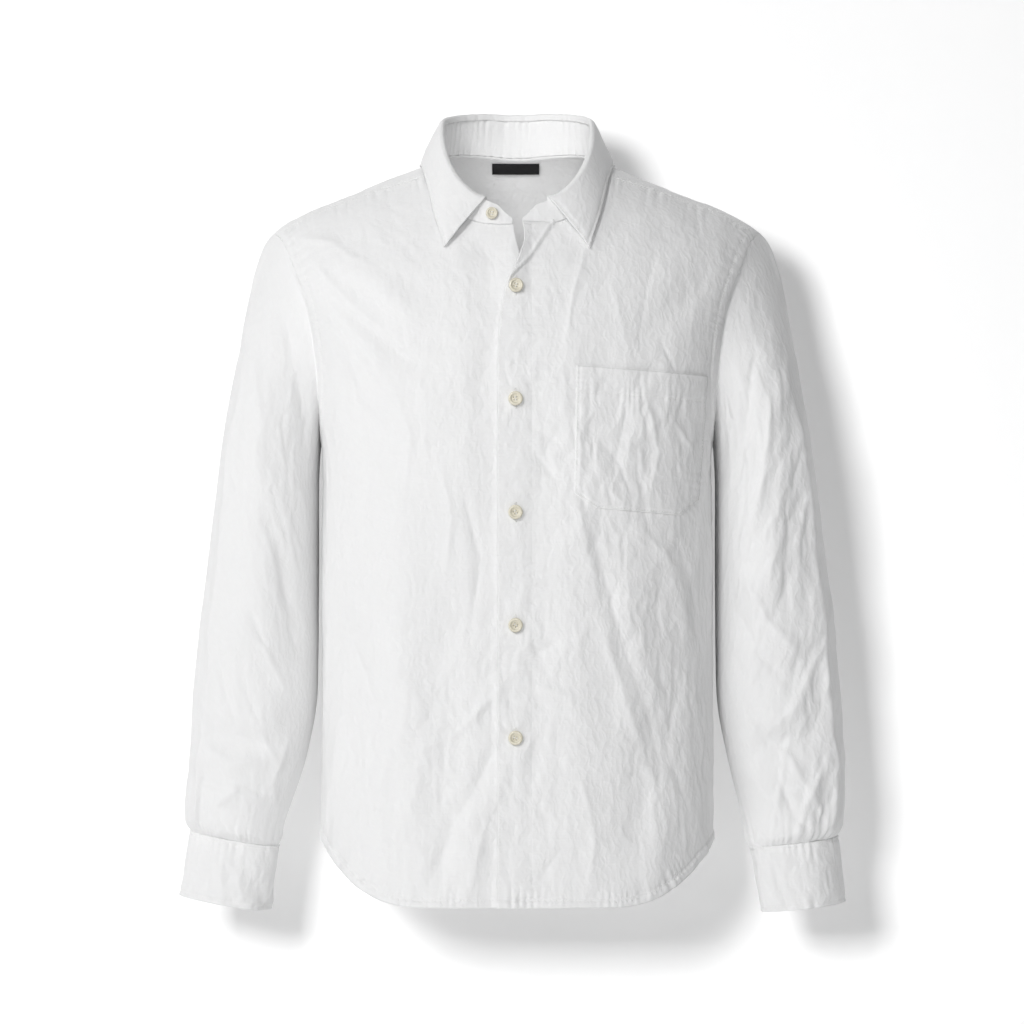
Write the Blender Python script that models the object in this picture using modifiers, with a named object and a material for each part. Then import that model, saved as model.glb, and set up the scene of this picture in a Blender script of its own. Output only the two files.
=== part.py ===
"""A crumpled poplin shirt, filled out as it is worn, with nobody in it.

The front faces -Y and the wearer's left is at +X. The origin is the middle of the neck,
level with the neck ends of the shoulders, where a wearer carries the shirt. Sizes are in
millimetres up to the moment that a mesh is placed in the scene, which is in metres.

The body is one worked-out form: flat-sided rings from hem to armpit, arched over to the
shoulder ridge. Each panel is a grid laid on that form between its own seams, and Solidify
gives it the thickness of the cloth. The sleeves are lofted from the armholes to the cuffs.
"""
import math

import bmesh
import bpy
import numpy as np
from mathutils import Vector

MM = 0.001

# Cloth and the small gap that parts one piece from the next
WALL = 1.5
BAND_WALL = 1.3
CUFF_WALL = 1.8
SEAM_GAP = 0.7
SLEEVE_GAP = 0.8
LIFT = 0.4
SEAM_ROW = 2.5

# Front opening, with the wearer's left side on top
PLACKET_STITCH = 17.0
PLACKET_TOP = -74.0
LAP_DEPTH = 2.5
LAP_FULL_AT = 20.0
LAP_GONE_AT = 52.0
LAP_TOP = -76.0
LAP_TOP_FULL = -98.0

# Neck, shoulders and yoke
NECK_HALF_WIDTH = 73.0
NECK_MIDDLE_Y = -23.0
NECK_DEPTH = 69.0
NECK_FRONT_POWER = 3.2
NECK_CORNER = math.radians(97.5)
SEAM_FORWARD_AT_NECK = 42.3
SEAM_FORWARD_AT_TIP = 20.0
SHOULDER_TIP_X = 226.0
YOKE_DROP = -95.0

# Armhole, an oval seen from the side
ARMHOLE_MIDDLE_Z = -172.5
ARMHOLE_HALF_HEIGHT = 99.5
ARMHOLE_FRONT = 61.0
ARMHOLE_BACK = 66.0
ARMPIT_SHARE = 0.62
FRONT_NECK_SHARE = 0.36
YOKE_NECK_SHARE = 0.46
FRONT_HOLD = 4.0

# Shirt-tail hem
HEM_FRONT = -706.0
HEM_BACK = -716.0
HEM_SIDE_RISE = 56.0
HEM_FLAT_HALF = 88.0
HEM_POWER = 2.4

# The form
RING_POWER = 2.7
REFERENCE_HALF_WIDTH = 187.0
REFERENCE_DEPTH = 116.0
ARCH_START = -200.0

# Sleeve: where the cap ends, and how hard it pulls out of its seam and into the tube
CAP_SHARE = 0.26
CAP_EASE = 1.25
CAP_OUT_AT_ARMPIT = 11.0
CAP_OUT_AT_TOP = 77.0
CAP_DOWN_AT_ARMPIT = 55.0
CAP_DOWN_AT_TOP = 115.0
TUBE_ROUNDNESS = 0.92

# The collar
STAND_GAP = 1.1
STAND_LEAN = 0.08
STAND_END_RIGHT = 4.0
STAND_END_LEFT = 5.0
LEAF_BOW_OUT = 0.6
LEAF_BOW_UP = 0.8
ROLL_ROWS = 3

# Buttons
BUTTON_DIAMETER = 13.4
BUTTON_THICK = 3.0
BUTTON_X = -1.5
BUTTON_TOP_Z = -131.0
BUTTON_PITCH = 104.4
BUTTON_COUNT = 5
SMALL_BUTTON_DIAMETER = 11.4
STAND_BUTTON_X = 23.5
SEAT = LIFT + BAND_WALL + 0.8
SMALL_SEAT = 0.9
STAND_SEAT = WALL + 0.2
CUFF_BUTTON_TURN = math.radians(-84)

# Where a cuff's under end starts, and how far its outer end laps past it
CUFF_BEGIN = math.radians(-104)
CUFF_LAP = math.radians(34)
CUFF_TUCK = 3.0

# The wearer's right cuff swings out a little more than the left one
SWING_OUT = 6.5
SWING_UP = 6.0
SWING_TOP = -570.0
SWING_FULL = -655.0

# Cells of each stretch of a grid; pieces that meet share the cells of their seam
NECK_CELLS = 6
NECK_EASE = 1.7
SEAM_CELLS = 8
FRONT_LOW_CELLS = 17
FRONT_ARM_CELLS = 9
YOKE_NECK_CELLS = 12
YOKE_CELLS = 6
BACK_CELLS = 19
BACK_LOW_CELLS = 14
BACK_ARM_CELLS = 7
SLEEVE_CELLS = 22
CUFF_CELLS = 26
LEAF_CELLS = 7
LEAF_SET_BACK = 2
NARROW = 0.1


class Table:
    """Rows of sizes with named columns, read smoothly between the rows."""

    def __init__(self, columns, *rows):
        self.columns = columns.split()
        self.rows = np.array(rows, float)

    def __call__(self, column, at):
        """The column's value where the first column is at."""
        key = self.rows[:, 0]
        value = self.rows[:, self.columns.index(column)]
        slope = np.gradient(value, key)
        at = np.clip(at, key[0], key[-1])
        low = np.clip(np.searchsorted(key, at) - 1, 0, len(key) - 2)
        step = key[low + 1] - key[low]
        t = (at - key[low]) / step
        start = (1 + 2 * t) * (1 - t) ** 2 * value[low] + t * (1 - t) ** 2 * step * slope[low]
        end = t * t * (3 - 2 * t) * value[low + 1] + t * t * (t - 1) * step * slope[low + 1]
        return start + end


BODY = Table(
    "height half_width front back",
    (-730, 187.0, 118, 118),
    (-600, 187.0, 114, 109),
    (-480, 187.0, 112, 105),
    (-380, 187.0, 116, 110),
    (-272, 187.0, 120, 117),
    (-215, 196.5, 119, 120),
    (-147, 212.5, 117, 120),
    (-95, 231.0, 114, 118),
    (-60, 236.0, 111, 116),
    (40, 238.0, 108, 112),
)
RIDGE = Table(
    "x height",
    (0, 24.0),
    (25, 21.5),
    (50, 12.0),
    (73, -1.5),
    (90, -9.0),
    (135, -26.5),
    (160, -37.0),
    (200, -52.0),
    (222, -64.0),
    (240, -78.0),
)
LEFT_EDGE = Table(
    "height x",
    (-720, -18.0),
    (-400, -18.0),
    (-237, -18.0),
    (-172, -17.0),
    (-134, -11.3),
    (-102, 3.0),
    (-86, 7.0),
    (-71, 5.0),
)
RIGHT_EDGE = Table(
    "height x",
    (-720, -16.0),
    (-400, -16.0),
    (-237, -16.0),
    (-172, -15.0),
    (-134, -10.0),
    (-102, -3.0),
    (-86, 1.5),
    (-71, 4.0),
)
SLEEVE = Table(
    "along outer_x outer_z inner_x inner_z depth middle_y",
    (0.00, 270.0, -205, 190.5, -318, 146, 3),
    (0.12, 280.5, -262, 190.5, -352, 150, 4),
    (0.26, 289.0, -325, 190.5, -392, 146, 5),
    (0.40, 297.0, -390, 190.8, -436, 136, 5),
    (0.53, 304.0, -450, 191.0, -480, 124, 3),
    (0.65, 309.5, -505, 192.5, -525, 112, 0),
    (0.78, 313.0, -560, 202.0, -576, 98, -4),
    (0.89, 314.0, -605, 212.5, -620, 88, -7),
    (0.97, 310.5, -639, 220.0, -651, 76, -9),
    (1.00, 306.7, -648.4, 221.3, -658.6, 63, -10),
)
CUFF = Table(
    "along outer_x outer_z inner_x inner_z depth middle_y",
    (0.0, 306.7, -649, 221.3, -659.2, 63, -10),
    (1.0, 315.3, -711, 230.4, -721.0, 64, -12),
)
STAND = Table(
    "angle height",
    (0.0, 37.0),
    (0.4, 36.0),
    (0.8, 34.0),
    (1.2, 33.0),
    (1.9, 32.0),
    (2.26, 29.5),
    (2.58, 25.5),
    (2.81, 21.5),
    (2.95, 19.8),
    (3.05, 15.5),
    (3.1, 9.0),
    (math.pi, 3.0),
)
LEAF_EDGE = Table(
    "along x y lift",
    (0.00, 68.0, -97.5, 6.5),
    (0.18, 80.5, -74, 5.5),
    (0.34, 90.0, -36, 4.0),
    (0.46, 94.0, -6, 3.2),
    (0.60, 91.0, 22, 3.4),
    (0.75, 72.0, 46, 4.5),
    (0.88, 38.0, 56, 5.5),
    (1.00, 0.0, 58, 6.0),
)
ROLL = Table(
    "step outward up",
    (0, -1.4, 1.5),
    (1, -0.9, 3.1),
    (2, 1.1, 4.0),
    (3, 3.8, 2.2),
)

# Folds: both ends of a crest in x and z, its half width, and how far it stands out
FRONT_FOLDS = (
    (-205, -100, -120, -215, 15, 4.0),
    (-190, -90, -85, -165, 13, 3.0),
    (-175, -190, -95, -330, 16, -3.0),
    (-120, -290, -105, -640, 24, 3.5),
    (-62, -380, -70, -690, 18, -3.0),
    (-165, -420, -150, -660, 18, -2.5),
    (8, -62, -12, -136, 13, 4.5),
    (70, -110, 38, -240, 16, 3.0),
    (185, -110, 110, -190, 15, -3.0),
    (48, -250, 60, -660, 20, 3.0),
    (95, -360, 135, -560, 18, 3.0),
    (165, -400, 95, -690, 20, -3.0),
    (150, -560, 120, -690, 16, 3.0),
)
BACK_FOLDS = (
    (-150, -170, -90, -420, 20, 3.5),
    (-60, -150, -55, -620, 18, -3.0),
    (10, -240, 25, -660, 22, 3.5),
    (80, -150, 60, -480, 18, -3.0),
    (150, -180, 105, -470, 20, 3.5),
    (-130, -460, -100, -700, 20, 3.0),
    (120, -480, 140, -690, 20, -2.5),
)
# Folds across a sleeve: place along, place round in degrees, half sizes, and how far out
SLEEVE_FOLDS = (
    (0.30, 95, 0.16, 26, 3.0),
    (0.44, 150, 0.05, 40, -3.0),
    (0.52, 60, 0.05, 38, 3.0),
    (0.60, 120, 0.04, 40, -3.5),
    (0.68, 80, 0.05, 40, 3.5),
    (0.75, 100, 0.03, 45, -3.5),
    (0.81, 60, 0.03, 45, 3.0),
    (0.88, 110, 0.03, 50, 3.5),
    (0.55, -90, 0.05, 50, -3.5),
    (0.64, -70, 0.05, 50, 3.5),
    (0.78, -110, 0.05, 50, 3.0),
    (0.86, -80, 0.03, 50, -3.0),
)
SLEEVE_CREASE_AT = 48.0
SLEEVE_CREASE_WIDTH = 11.0
SLEEVE_CREASE_HEIGHT = 4.0

CLOTH = (0.86, 0.86, 0.86, 1.0)
RESIN = (0.80, 0.77, 0.66, 1.0)
INK = (0.008, 0.008, 0.012, 1.0)


def unit_ring(samples=6001):
    """A quarter ring's x, y and share of its length, from the middle round to the side."""
    angle = np.linspace(0, math.pi / 2, samples)
    x = np.sin(angle) ** (2 / RING_POWER)
    y = np.abs(np.cos(angle)) ** (2 / RING_POWER)
    step = np.hypot(np.diff(x) * REFERENCE_HALF_WIDTH, np.diff(y) * REFERENCE_DEPTH)
    length = np.concatenate([[0], np.cumsum(step)])
    return x, y, length / length[-1]


RING_X, RING_Y, RING_SHARE = unit_ring()


def stations(cells, narrow_start=False, narrow_end=False):
    """Shares from 0 to 1 a cell apart, with a narrow cell beside a seam."""
    width = np.ones(cells)
    if narrow_start:
        width[0] = NARROW
    if narrow_end:
        width[-1] = NARROW
    place = np.concatenate([[0], np.cumsum(width)])
    return place / place[-1]


def chain(*stretches):
    """Stations of several stretches end to end, each with its start, end and shares."""
    parts = [start + (end - start) * shares for start, end, shares in stretches]
    return np.concatenate([parts[0]] + [part[1:] for part in parts[1:]])


def smoothstep(start, end, at):
    """0 before start, 1 after end, smooth between them."""
    t = np.clip((at - start) / (end - start), 0, 1)
    return t * t * (3 - 2 * t)


def mix(first, second, share):
    return first + (second - first) * share


def body_depth(z, side):
    """Half the body's depth at a height, in front (side -1) or behind (side 1)."""
    return np.where(np.asarray(side) < 0, BODY("front", z), BODY("back", z))


def arch(x, z):
    """How much of its depth the form keeps as it closes over to the shoulder ridge."""
    rise = (z - ARCH_START) / (RIDGE("height", np.abs(x)) - ARCH_START)
    return np.sqrt(1 - np.clip(rise, 0, 1) ** 2)


def form_depth(x, z, side):
    """How far the form stands from the middle plane."""
    share = np.clip(np.abs(x) / BODY("half_width", z), 0, 1)
    round_off = (1 - share**RING_POWER) ** (1 / RING_POWER)
    return body_depth(z, side) * round_off * arch(x, z)


def form_point(share, z, side):
    """A point of the form, by its signed share of the way round and its height."""
    x = BODY("half_width", z) * np.sign(share) * np.interp(np.abs(share), RING_SHARE, RING_X)
    y = side * body_depth(z, side) * np.interp(np.abs(share), RING_SHARE, RING_Y) * arch(x, z)
    return np.array([x, y, z + 0 * x])


def form_height(x, y):
    """The form's height over a point of the plan: down from the ridge, then by halving."""
    step = 1.5
    low = RIDGE("height", np.abs(x)) + 0.0 * y
    for _ in range(90):
        low = np.where(form_depth(x, low, y) < np.abs(y), low - step, low)
    high = low + step
    for _ in range(16):
        middle = (low + high) / 2
        inside = form_depth(x, middle, y) > np.abs(y)
        low = np.where(inside, middle, low)
        high = np.where(inside, high, middle)
    return low


def form_reach(y, z):
    """How far out sideways the form is at a point of the side view, found by halving."""
    low = np.full(np.broadcast(y, z).shape, 80.0)
    high = BODY("half_width", z) + 0 * low
    for _ in range(40):
        middle = (low + high) / 2
        inside = form_depth(middle, z, y) > np.abs(y)
        low = np.where(inside, middle, low)
        high = np.where(inside, high, middle)
    return low


def share_round(point):
    """The share of the way round at which a point of the form lies."""
    x, y, z = point
    across = np.abs(x) / BODY("half_width", z)
    deep = np.abs(y) / (body_depth(z, y) * np.maximum(arch(x, z), 1e-3))
    near_middle = np.interp(across, RING_X, RING_SHARE)
    near_side = np.interp(-deep, -RING_Y, RING_SHARE)
    return np.where(across < 0.9, near_middle, near_side)


def armhole(angle):
    """The left armhole seam, by the angle from its top round by the front."""
    sine = np.sin(angle)
    y = -np.where(sine > 0, ARMHOLE_FRONT, ARMHOLE_BACK) * sine
    z = ARMHOLE_MIDDLE_Z + ARMHOLE_HALF_HEIGHT * np.cos(angle)
    return np.array([form_reach(y, z), y, z])


def neck(angle):
    """The neck seam, by the angle from the middle of the back; x follows the angle's sign."""
    turn = np.abs(angle)
    power = np.where(turn > math.pi / 2, 2 / NECK_FRONT_POWER, 1.0)
    x = np.sign(angle) * NECK_HALF_WIDTH * np.abs(np.sin(turn)) ** power
    y = NECK_MIDDLE_Y + NECK_DEPTH * np.sign(np.cos(turn)) * np.abs(np.cos(turn)) ** power
    return np.array([x, y, form_height(x, y)])


def neck_angle(x):
    """The angle of the neck seam in front at a distance from the middle."""
    return math.pi - math.asin((x / NECK_HALF_WIDTH) ** (NECK_FRONT_POWER / 2))


def seam_forward(x):
    """How far in front of the ridge the shoulder seam runs."""
    share = (np.abs(x) - NECK_HALF_WIDTH) / (SHOULDER_TIP_X - NECK_HALF_WIDTH)
    return mix(SEAM_FORWARD_AT_NECK, SEAM_FORWARD_AT_TIP, share)


def front_seam_angle(shift=0.0):
    """Where on the armhole the shoulder seam ends, moved back by a shift."""
    return math.asin((SEAM_FORWARD_AT_TIP - shift) / ARMHOLE_FRONT)


def back_seam_angle(drop=0.0):
    """Where on the armhole the back yoke seam ends, moved down by a drop."""
    return -math.acos((YOKE_DROP - drop - ARMHOLE_MIDDLE_Z) / ARMHOLE_HALF_HEIGHT)


def shoulder_seam(share, shift=0.0):
    """The shoulder seam from the neck to the armhole."""
    start = neck(NECK_CORNER)[0]
    x = mix(start, armhole(front_seam_angle(shift))[0], share)
    y = -seam_forward(x) + shift
    return np.array([x, y, form_height(x, y)])


def hem_height(share, side):
    """The shirt tail's height at a share of the way round."""
    x = REFERENCE_HALF_WIDTH * np.interp(np.abs(share), RING_SHARE, RING_X)
    lowest = HEM_FRONT if side < 0 else HEM_BACK
    rise = HEM_SIDE_RISE + HEM_FRONT - lowest
    past = np.clip((x - HEM_FLAT_HALF) / (REFERENCE_HALF_WIDTH - HEM_FLAT_HALF), 0, 1)
    return lowest + rise * past**HEM_POWER


def normals(points):
    """Unit normals of a grid of points, from its steps across and along."""
    across = np.gradient(points, axis=2)
    along = np.gradient(points, axis=1)
    normal = np.cross(across, along, axis=0)
    return normal / np.maximum(np.linalg.norm(normal, axis=0), 1e-9)


def fold_lift(x, z, folds):
    """How far the folds lift the cloth at points of a panel."""
    lift = 0.0 * x
    for x1, z1, x2, z2, half_width, height in folds:
        length = math.hypot(x2 - x1, z2 - z1)
        ux, uz = (x2 - x1) / length, (z2 - z1) / length
        along = (x - x1) * ux + (z - z1) * uz
        off = (x - x1) * uz - (z - z1) * ux
        inside = smoothstep(-half_width, 0.3 * length, along)
        inside = inside * smoothstep(length + half_width, 0.7 * length, along)
        lift = lift + height * np.exp(-((off / half_width) ** 2)) * inside
    return lift


def coons(bottom, top, left, right, u, v, hold=1.0):
    """A patch between four edges; hold is how fast the foot's and the top's own shapes fade."""
    foot = bottom(u) - mix(bottom(0 * u), bottom(1 + 0 * u), u)
    head = top(u) - mix(top(0 * u), top(1 + 0 * u), u)
    return mix(left(v), right(v), u) + (1 - v) ** hold * foot + v**hold * head


def flat_place(point):
    """A point of the form as its signed share round and its height."""
    return np.array([np.sign(point[0]) * share_round(point), point[2]])


def front_edges(hand):
    """The four edges of a front, drawn for the wearer's left and mirrored for the right."""
    edge_table = LEFT_EDGE if hand > 0 else RIGHT_EDGE
    neck_start = neck_angle(STAND_END_LEFT if hand > 0 else STAND_END_RIGHT)
    neck_share = FRONT_NECK_SHARE
    low_share = float(edge_table("x", HEM_FRONT)) / REFERENCE_HALF_WIDTH
    low_share = math.copysign(float(np.interp(abs(low_share), RING_X, RING_SHARE)), low_share)
    top_z = float(neck(neck_start)[2])
    side_foot = float(hem_height(1.0, -1))
    seam_turn = front_seam_angle(-SEAM_GAP / 2)

    def bottom(u):
        share = mix(low_share, 0.999, u)
        return np.array([share, hem_height(share, -1)])

    def top(u):
        turn = mix(neck_start, NECK_CORNER, np.clip(u / neck_share, 0, 1) ** NECK_EASE)
        on_neck = neck(turn)
        on_seam = shoulder_seam(np.clip((u - neck_share) / (1 - neck_share), 0, 1), -SEAM_GAP / 2)
        return np.where(u < neck_share, flat_place(on_neck), flat_place(on_seam))

    def left(v):
        z = mix(HEM_FRONT, top_z, v)
        x = edge_table("x", z)
        share = np.sign(x) * np.interp(np.abs(x) / BODY("half_width", z), RING_X, RING_SHARE)
        return np.array([share, z])

    def right(v):
        z = mix(side_foot, ARMHOLE_MIDDLE_Z - ARMHOLE_HALF_HEIGHT, np.clip(v / ARMPIT_SHARE, 0, 1))
        part = np.clip((v - ARMPIT_SHARE) / (1 - ARMPIT_SHARE), 0, 1)
        on_armhole = flat_place(armhole(mix(math.pi, seam_turn, part)))
        on_armhole[0] = np.minimum(on_armhole[0], 0.999)
        return np.where(v < ARMPIT_SHARE, np.array([0.999 + 0 * z, z]), on_armhole)

    return bottom, top, left, right


def front_surface(u, v, hand):
    """A front panel, with its folds and, on the right, the lap that goes under the left."""
    share, z = coons(*front_edges(hand), u, v, FRONT_HOLD)
    points = form_point(share, z, -1.0)
    points[0] *= hand
    points[1] = np.minimum(points[1], -SEAM_GAP / 2)
    outward = normals(points) * hand
    free = (1 - smoothstep(0.86, 1, u)) * (1 - smoothstep(0.93, 1, v))
    lift = fold_lift(points[0], points[2], FRONT_FOLDS) * free
    if hand < 0:
        under = 1 - smoothstep(LAP_FULL_AT, LAP_GONE_AT, np.abs(points[0]))
        lift = lift - LAP_DEPTH * under * smoothstep(LAP_TOP, LAP_TOP_FULL, points[2])
    return points + outward * lift


def back_surface(u, v):
    """The back panel, from the wearer's left side to the right, hem to yoke seam."""
    seam_turn = back_seam_angle(SEAM_GAP)
    seam_share = float(share_round(armhole(seam_turn)))
    foot = float(hem_height(1.0, 1))
    half = 1 - 2 * u
    size = np.abs(half)

    def outer(v):
        z = mix(foot, ARMHOLE_MIDDLE_Z - ARMHOLE_HALF_HEIGHT, np.clip(v / ARMPIT_SHARE, 0, 1))
        part = np.clip((v - ARMPIT_SHARE) / (1 - ARMPIT_SHARE), 0, 1)
        on_armhole = flat_place(armhole(mix(-math.pi, seam_turn, part)))
        on_armhole[0] = np.minimum(on_armhole[0], 0.999)
        return np.where(v < ARMPIT_SHARE, np.array([0.999 + 0 * z, z]), on_armhole)

    def bottom(s):
        return np.array([0.999 * s, hem_height(0.999 * s, 1)])

    def top(s):
        return np.array([seam_share * s, YOKE_DROP - SEAM_GAP + 0 * s])

    def middle(v):
        return np.array([0 * v, mix(HEM_BACK, YOKE_DROP - SEAM_GAP, v)])

    share, z = coons(bottom, top, middle, outer, size, v)
    points = form_point(share * np.sign(half), z, 1.0)
    points[1] = np.maximum(points[1], SEAM_GAP / 2)
    free = (1 - smoothstep(0.8, 1, size)) * (1 - smoothstep(0.88, 1, v))
    lift = fold_lift(points[0], points[2], BACK_FOLDS) * free
    return points + normals(points) * lift


def yoke_surface(u, v):
    """The yoke: shoulder seams and neck in front, the back seam behind, armholes beside."""
    neck_share = YOKE_NECK_SHARE
    x_back = armhole(back_seam_angle())[0]

    def front(s):
        half = 2 * s - 1
        size = np.abs(half)
        on_neck = neck(mix(0, NECK_CORNER, np.clip(size / neck_share, 0, 1)))
        on_seam = shoulder_seam(np.clip((size - neck_share) / (1 - neck_share), 0, 1), SEAM_GAP / 2)
        plan = np.where(size < neck_share, on_neck, on_seam)[:2]
        return np.array([plan[0] * np.sign(half), plan[1]])

    def back(s):
        x = x_back * (2 * s - 1)
        return np.array([x, form_depth(x, YOKE_DROP, 1.0) + 0 * x])

    def end(t):
        point = armhole(mix(front_seam_angle(SEAM_GAP / 2), back_seam_angle(), t))
        return np.array([point[0], point[1]])

    def start(t):
        place = end(t)
        return np.array([-place[0], place[1]])

    x, y = coons(front, back, start, end, u, v)
    return np.array([x, y, form_height(x, y)])


def form_error(x, y, z):
    """Zero on the form, more outside it; the side's rule below the arch, the arch's above."""
    share = np.clip(np.abs(x) / BODY("half_width", z), 0, 1.2)
    deep = np.abs(y) / body_depth(z, y)
    side = share**RING_POWER + deep**RING_POWER - 1
    round_off = np.maximum(1 - share**RING_POWER, 1e-4) ** (1 / RING_POWER)
    rise = np.maximum(z - ARCH_START, 0) / (RIDGE("height", np.abs(x)) - ARCH_START)
    return np.where(z < ARCH_START, side, (deep / round_off) ** 2 + rise**2 - 1)


def form_normal(point):
    """The form's outward normal, from small steps each way."""
    x, y, z = point
    step = 0.2
    slope_x = form_error(x + step, y, z) - form_error(x - step, y, z)
    slope_y = form_error(x, y + step, z) - form_error(x, y - step, z)
    slope_z = form_error(x, y, z + step) - form_error(x, y, z - step)
    normal = np.array([slope_x, slope_y, slope_z])
    return normal / np.linalg.norm(normal, axis=0)


def seam_tangent(angle):
    """The direction that leaves the body across the armhole seam, along the cloth."""
    step = 0.01
    here = armhole(angle)
    along = armhole(angle + step) - armhole(angle - step)
    leave = np.cross(along, form_normal(here), axis=0)
    leave = leave / np.linalg.norm(leave, axis=0)
    to_middle = (ARMHOLE_MIDDLE_Z - here[2]) * leave[2] - here[1] * leave[1]
    return leave * np.where(to_middle < 0, -1, 1)


def tube_ring(table, along, turn):
    """A point of a sleeve or cuff: along its length and round from its outer side."""
    outer = np.array([table("outer_x", along), 0 * along, table("outer_z", along)])
    inner = np.array([table("inner_x", along), 0 * along, table("inner_z", along)])
    middle = (outer + inner) / 2
    middle[1] = table("middle_y", along)
    cosine, sine = np.cos(turn), np.sin(turn)
    half = (outer - inner) / 2
    ring = middle + half * np.sign(cosine) * np.abs(cosine) ** TUBE_ROUNDNESS
    flat = np.sign(sine) * np.abs(sine) ** TUBE_ROUNDNESS
    ring[1] = ring[1] - table("depth", along) / 2 * flat
    return ring


def sleeve_surface(turn, v, hand):
    """A sleeve: out of the armhole seam, over into the tube, down to the cuff."""
    leave = seam_tangent(turn)
    seam_share = v[1, 0]
    start = armhole(turn) + leave * (SLEEVE_GAP + SEAM_ROW * np.clip(v / seam_share, 0, 1))
    goal = tube_ring(SLEEVE, 0 * v, turn)
    beyond = tube_ring(SLEEVE, 0.05 + 0 * v, turn)
    heading = (beyond - goal) / np.linalg.norm(beyond - goal, axis=0)
    top = np.clip(np.cos(turn), 0, 1) ** 2
    out_pull = mix(CAP_OUT_AT_ARMPIT, CAP_OUT_AT_TOP, top)
    down_pull = mix(CAP_DOWN_AT_ARMPIT, CAP_DOWN_AT_TOP, top)
    t = np.clip((v - seam_share) / (CAP_SHARE - seam_share), 0, 1) ** CAP_EASE
    cap = (2 * t**3 - 3 * t**2 + 1) * start + (t**3 - 2 * t**2 + t) * out_pull * leave
    cap = cap + (3 * t**2 - 2 * t**3) * goal + (t**3 - t**2) * down_pull * heading
    down = np.clip((v - CAP_SHARE) / (1 - CAP_SHARE), 0, 1)
    points = np.where(v < CAP_SHARE, cap, tube_ring(SLEEVE, down, turn))
    points = points + sleeve_lift(points, turn, down) * sleeve_outward(turn)
    points[0] *= hand
    return swing(points, hand)


def swing(points, hand):
    """The foot of the wearer's right sleeve and its cuff, swung out and up a little."""
    if hand > 0:
        return points
    share = smoothstep(SWING_TOP, SWING_FULL, points[2])
    outer = smoothstep(200, 330, np.abs(points[0]))
    points[0] = points[0] - SWING_OUT * share
    points[2] = points[2] + SWING_UP * share * outer
    return points


def sleeve_outward(turn):
    """The way out of the sleeve, level, round from its outer side."""
    return np.array([np.cos(turn), -np.sin(turn), 0 * turn])


def sleeve_lift(points, turn, down):
    """The pressed crease down the front and back, and the folds across the sleeve."""
    degrees = np.degrees((turn + math.pi) % (2 * math.pi) - math.pi)
    lift = 0 * turn
    for crease in (SLEEVE_CREASE_AT, -SLEEVE_CREASE_AT):
        off = (degrees - crease) / SLEEVE_CREASE_WIDTH
        lift = lift + SLEEVE_CREASE_HEIGHT * np.exp(-(off**2))
    for at, around, half_along, half_round, height in SLEEVE_FOLDS:
        reach = ((down - at) / half_along) ** 2 + ((degrees - around) / half_round) ** 2
        lift = lift + height * np.exp(-reach)
    away_from_body = smoothstep(-0.75, -0.2, np.cos(turn))
    clear_of_ends = smoothstep(0.02, 0.12, down) * (1 - smoothstep(0.94, 0.99, down))
    return lift * away_from_body * clear_of_ends


def cuff_surface(u, v, hand):
    """A cuff, whose ends lap on the back outer side, the under end inside."""
    turn = CUFF_BEGIN + (2 * math.pi + CUFF_LAP) * u
    ring = tube_ring(CUFF, v, turn)
    under = 1 - smoothstep(CUFF_LAP * 1.15, CUFF_LAP * 2.4, turn - CUFF_BEGIN)
    tuck = CUFF_TUCK * under
    points = ring - tuck * sleeve_outward(turn)
    points[0] *= hand
    return swing(points, hand)


def stand_base(angle):
    """The foot of the collar stand, just above the neck seam."""
    base = neck(angle)
    base[2] = base[2] + STAND_GAP
    return base


def stand_up(angle):
    """The way the stand rises: up, leaning a little to the middle of the neck."""
    base = neck(angle)
    lean = np.array([-base[0], NECK_MIDDLE_Y - base[1], 0 * angle])
    lean = lean / np.maximum(np.linalg.norm(lean, axis=0), 1e-9) * STAND_LEAN
    return lean + np.array([0 * angle, 0 * angle, 1 + 0 * angle])


def stand_surface(angle, v):
    """The collar stand, from its button end round the back to its buttonhole end."""
    base = stand_base(angle)
    height = STAND("height", np.abs(angle))
    return base + stand_up(angle) * height * v


def leaf_surface(angle, v):
    """The collar leaf: up off the stand, rolled over, and down to its outer edge."""
    along = 1 - np.abs(angle) / np.where(angle < 0, -angle.min(), angle.max())
    base = neck(angle)
    outward = np.array([base[0], base[1] - NECK_MIDDLE_Y, 0 * angle])
    outward = outward / np.maximum(np.linalg.norm(outward, axis=0), 1e-9)
    up = np.array([0 * angle, 0 * angle, 1 + 0 * angle])
    top = stand_base(angle) + stand_up(angle) * STAND("height", np.abs(angle))
    step = v * LEAF_CELLS
    rolled = top + outward * ROLL("outward", step) + up * ROLL("up", step)
    last = top + outward * ROLL("outward", ROLL_ROWS) + up * ROLL("up", ROLL_ROWS)
    edge_x = LEAF_EDGE("x", along) * np.sign(angle)
    edge_y = LEAF_EDGE("y", along)
    edge = np.array([edge_x, edge_y, form_height(edge_x, edge_y)])
    off_body = np.array([0 * along, 0.6 * np.sign(edge_y), 0.8 + 0 * along])
    edge = edge + LEAF_EDGE("lift", along) * off_body
    share = np.clip((step - ROLL_ROWS) / (LEAF_CELLS - ROLL_ROWS), 0, 1)
    bow = 4 * share * (1 - share) * (LEAF_BOW_OUT * outward + LEAF_BOW_UP * up)
    return np.where(step <= ROLL_ROWS, rolled, mix(last, edge, share) + bow)


def finish(name, color, roughness):
    """A plain material in the piece's colour."""
    material = bpy.data.materials.new(name)
    material.use_nodes = True
    shader = material.node_tree.nodes["Principled BSDF"]
    shader.inputs["Base Color"].default_value = color
    shader.inputs["Roughness"].default_value = roughness
    shader.inputs["Metallic"].default_value = 0.0
    return material


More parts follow.
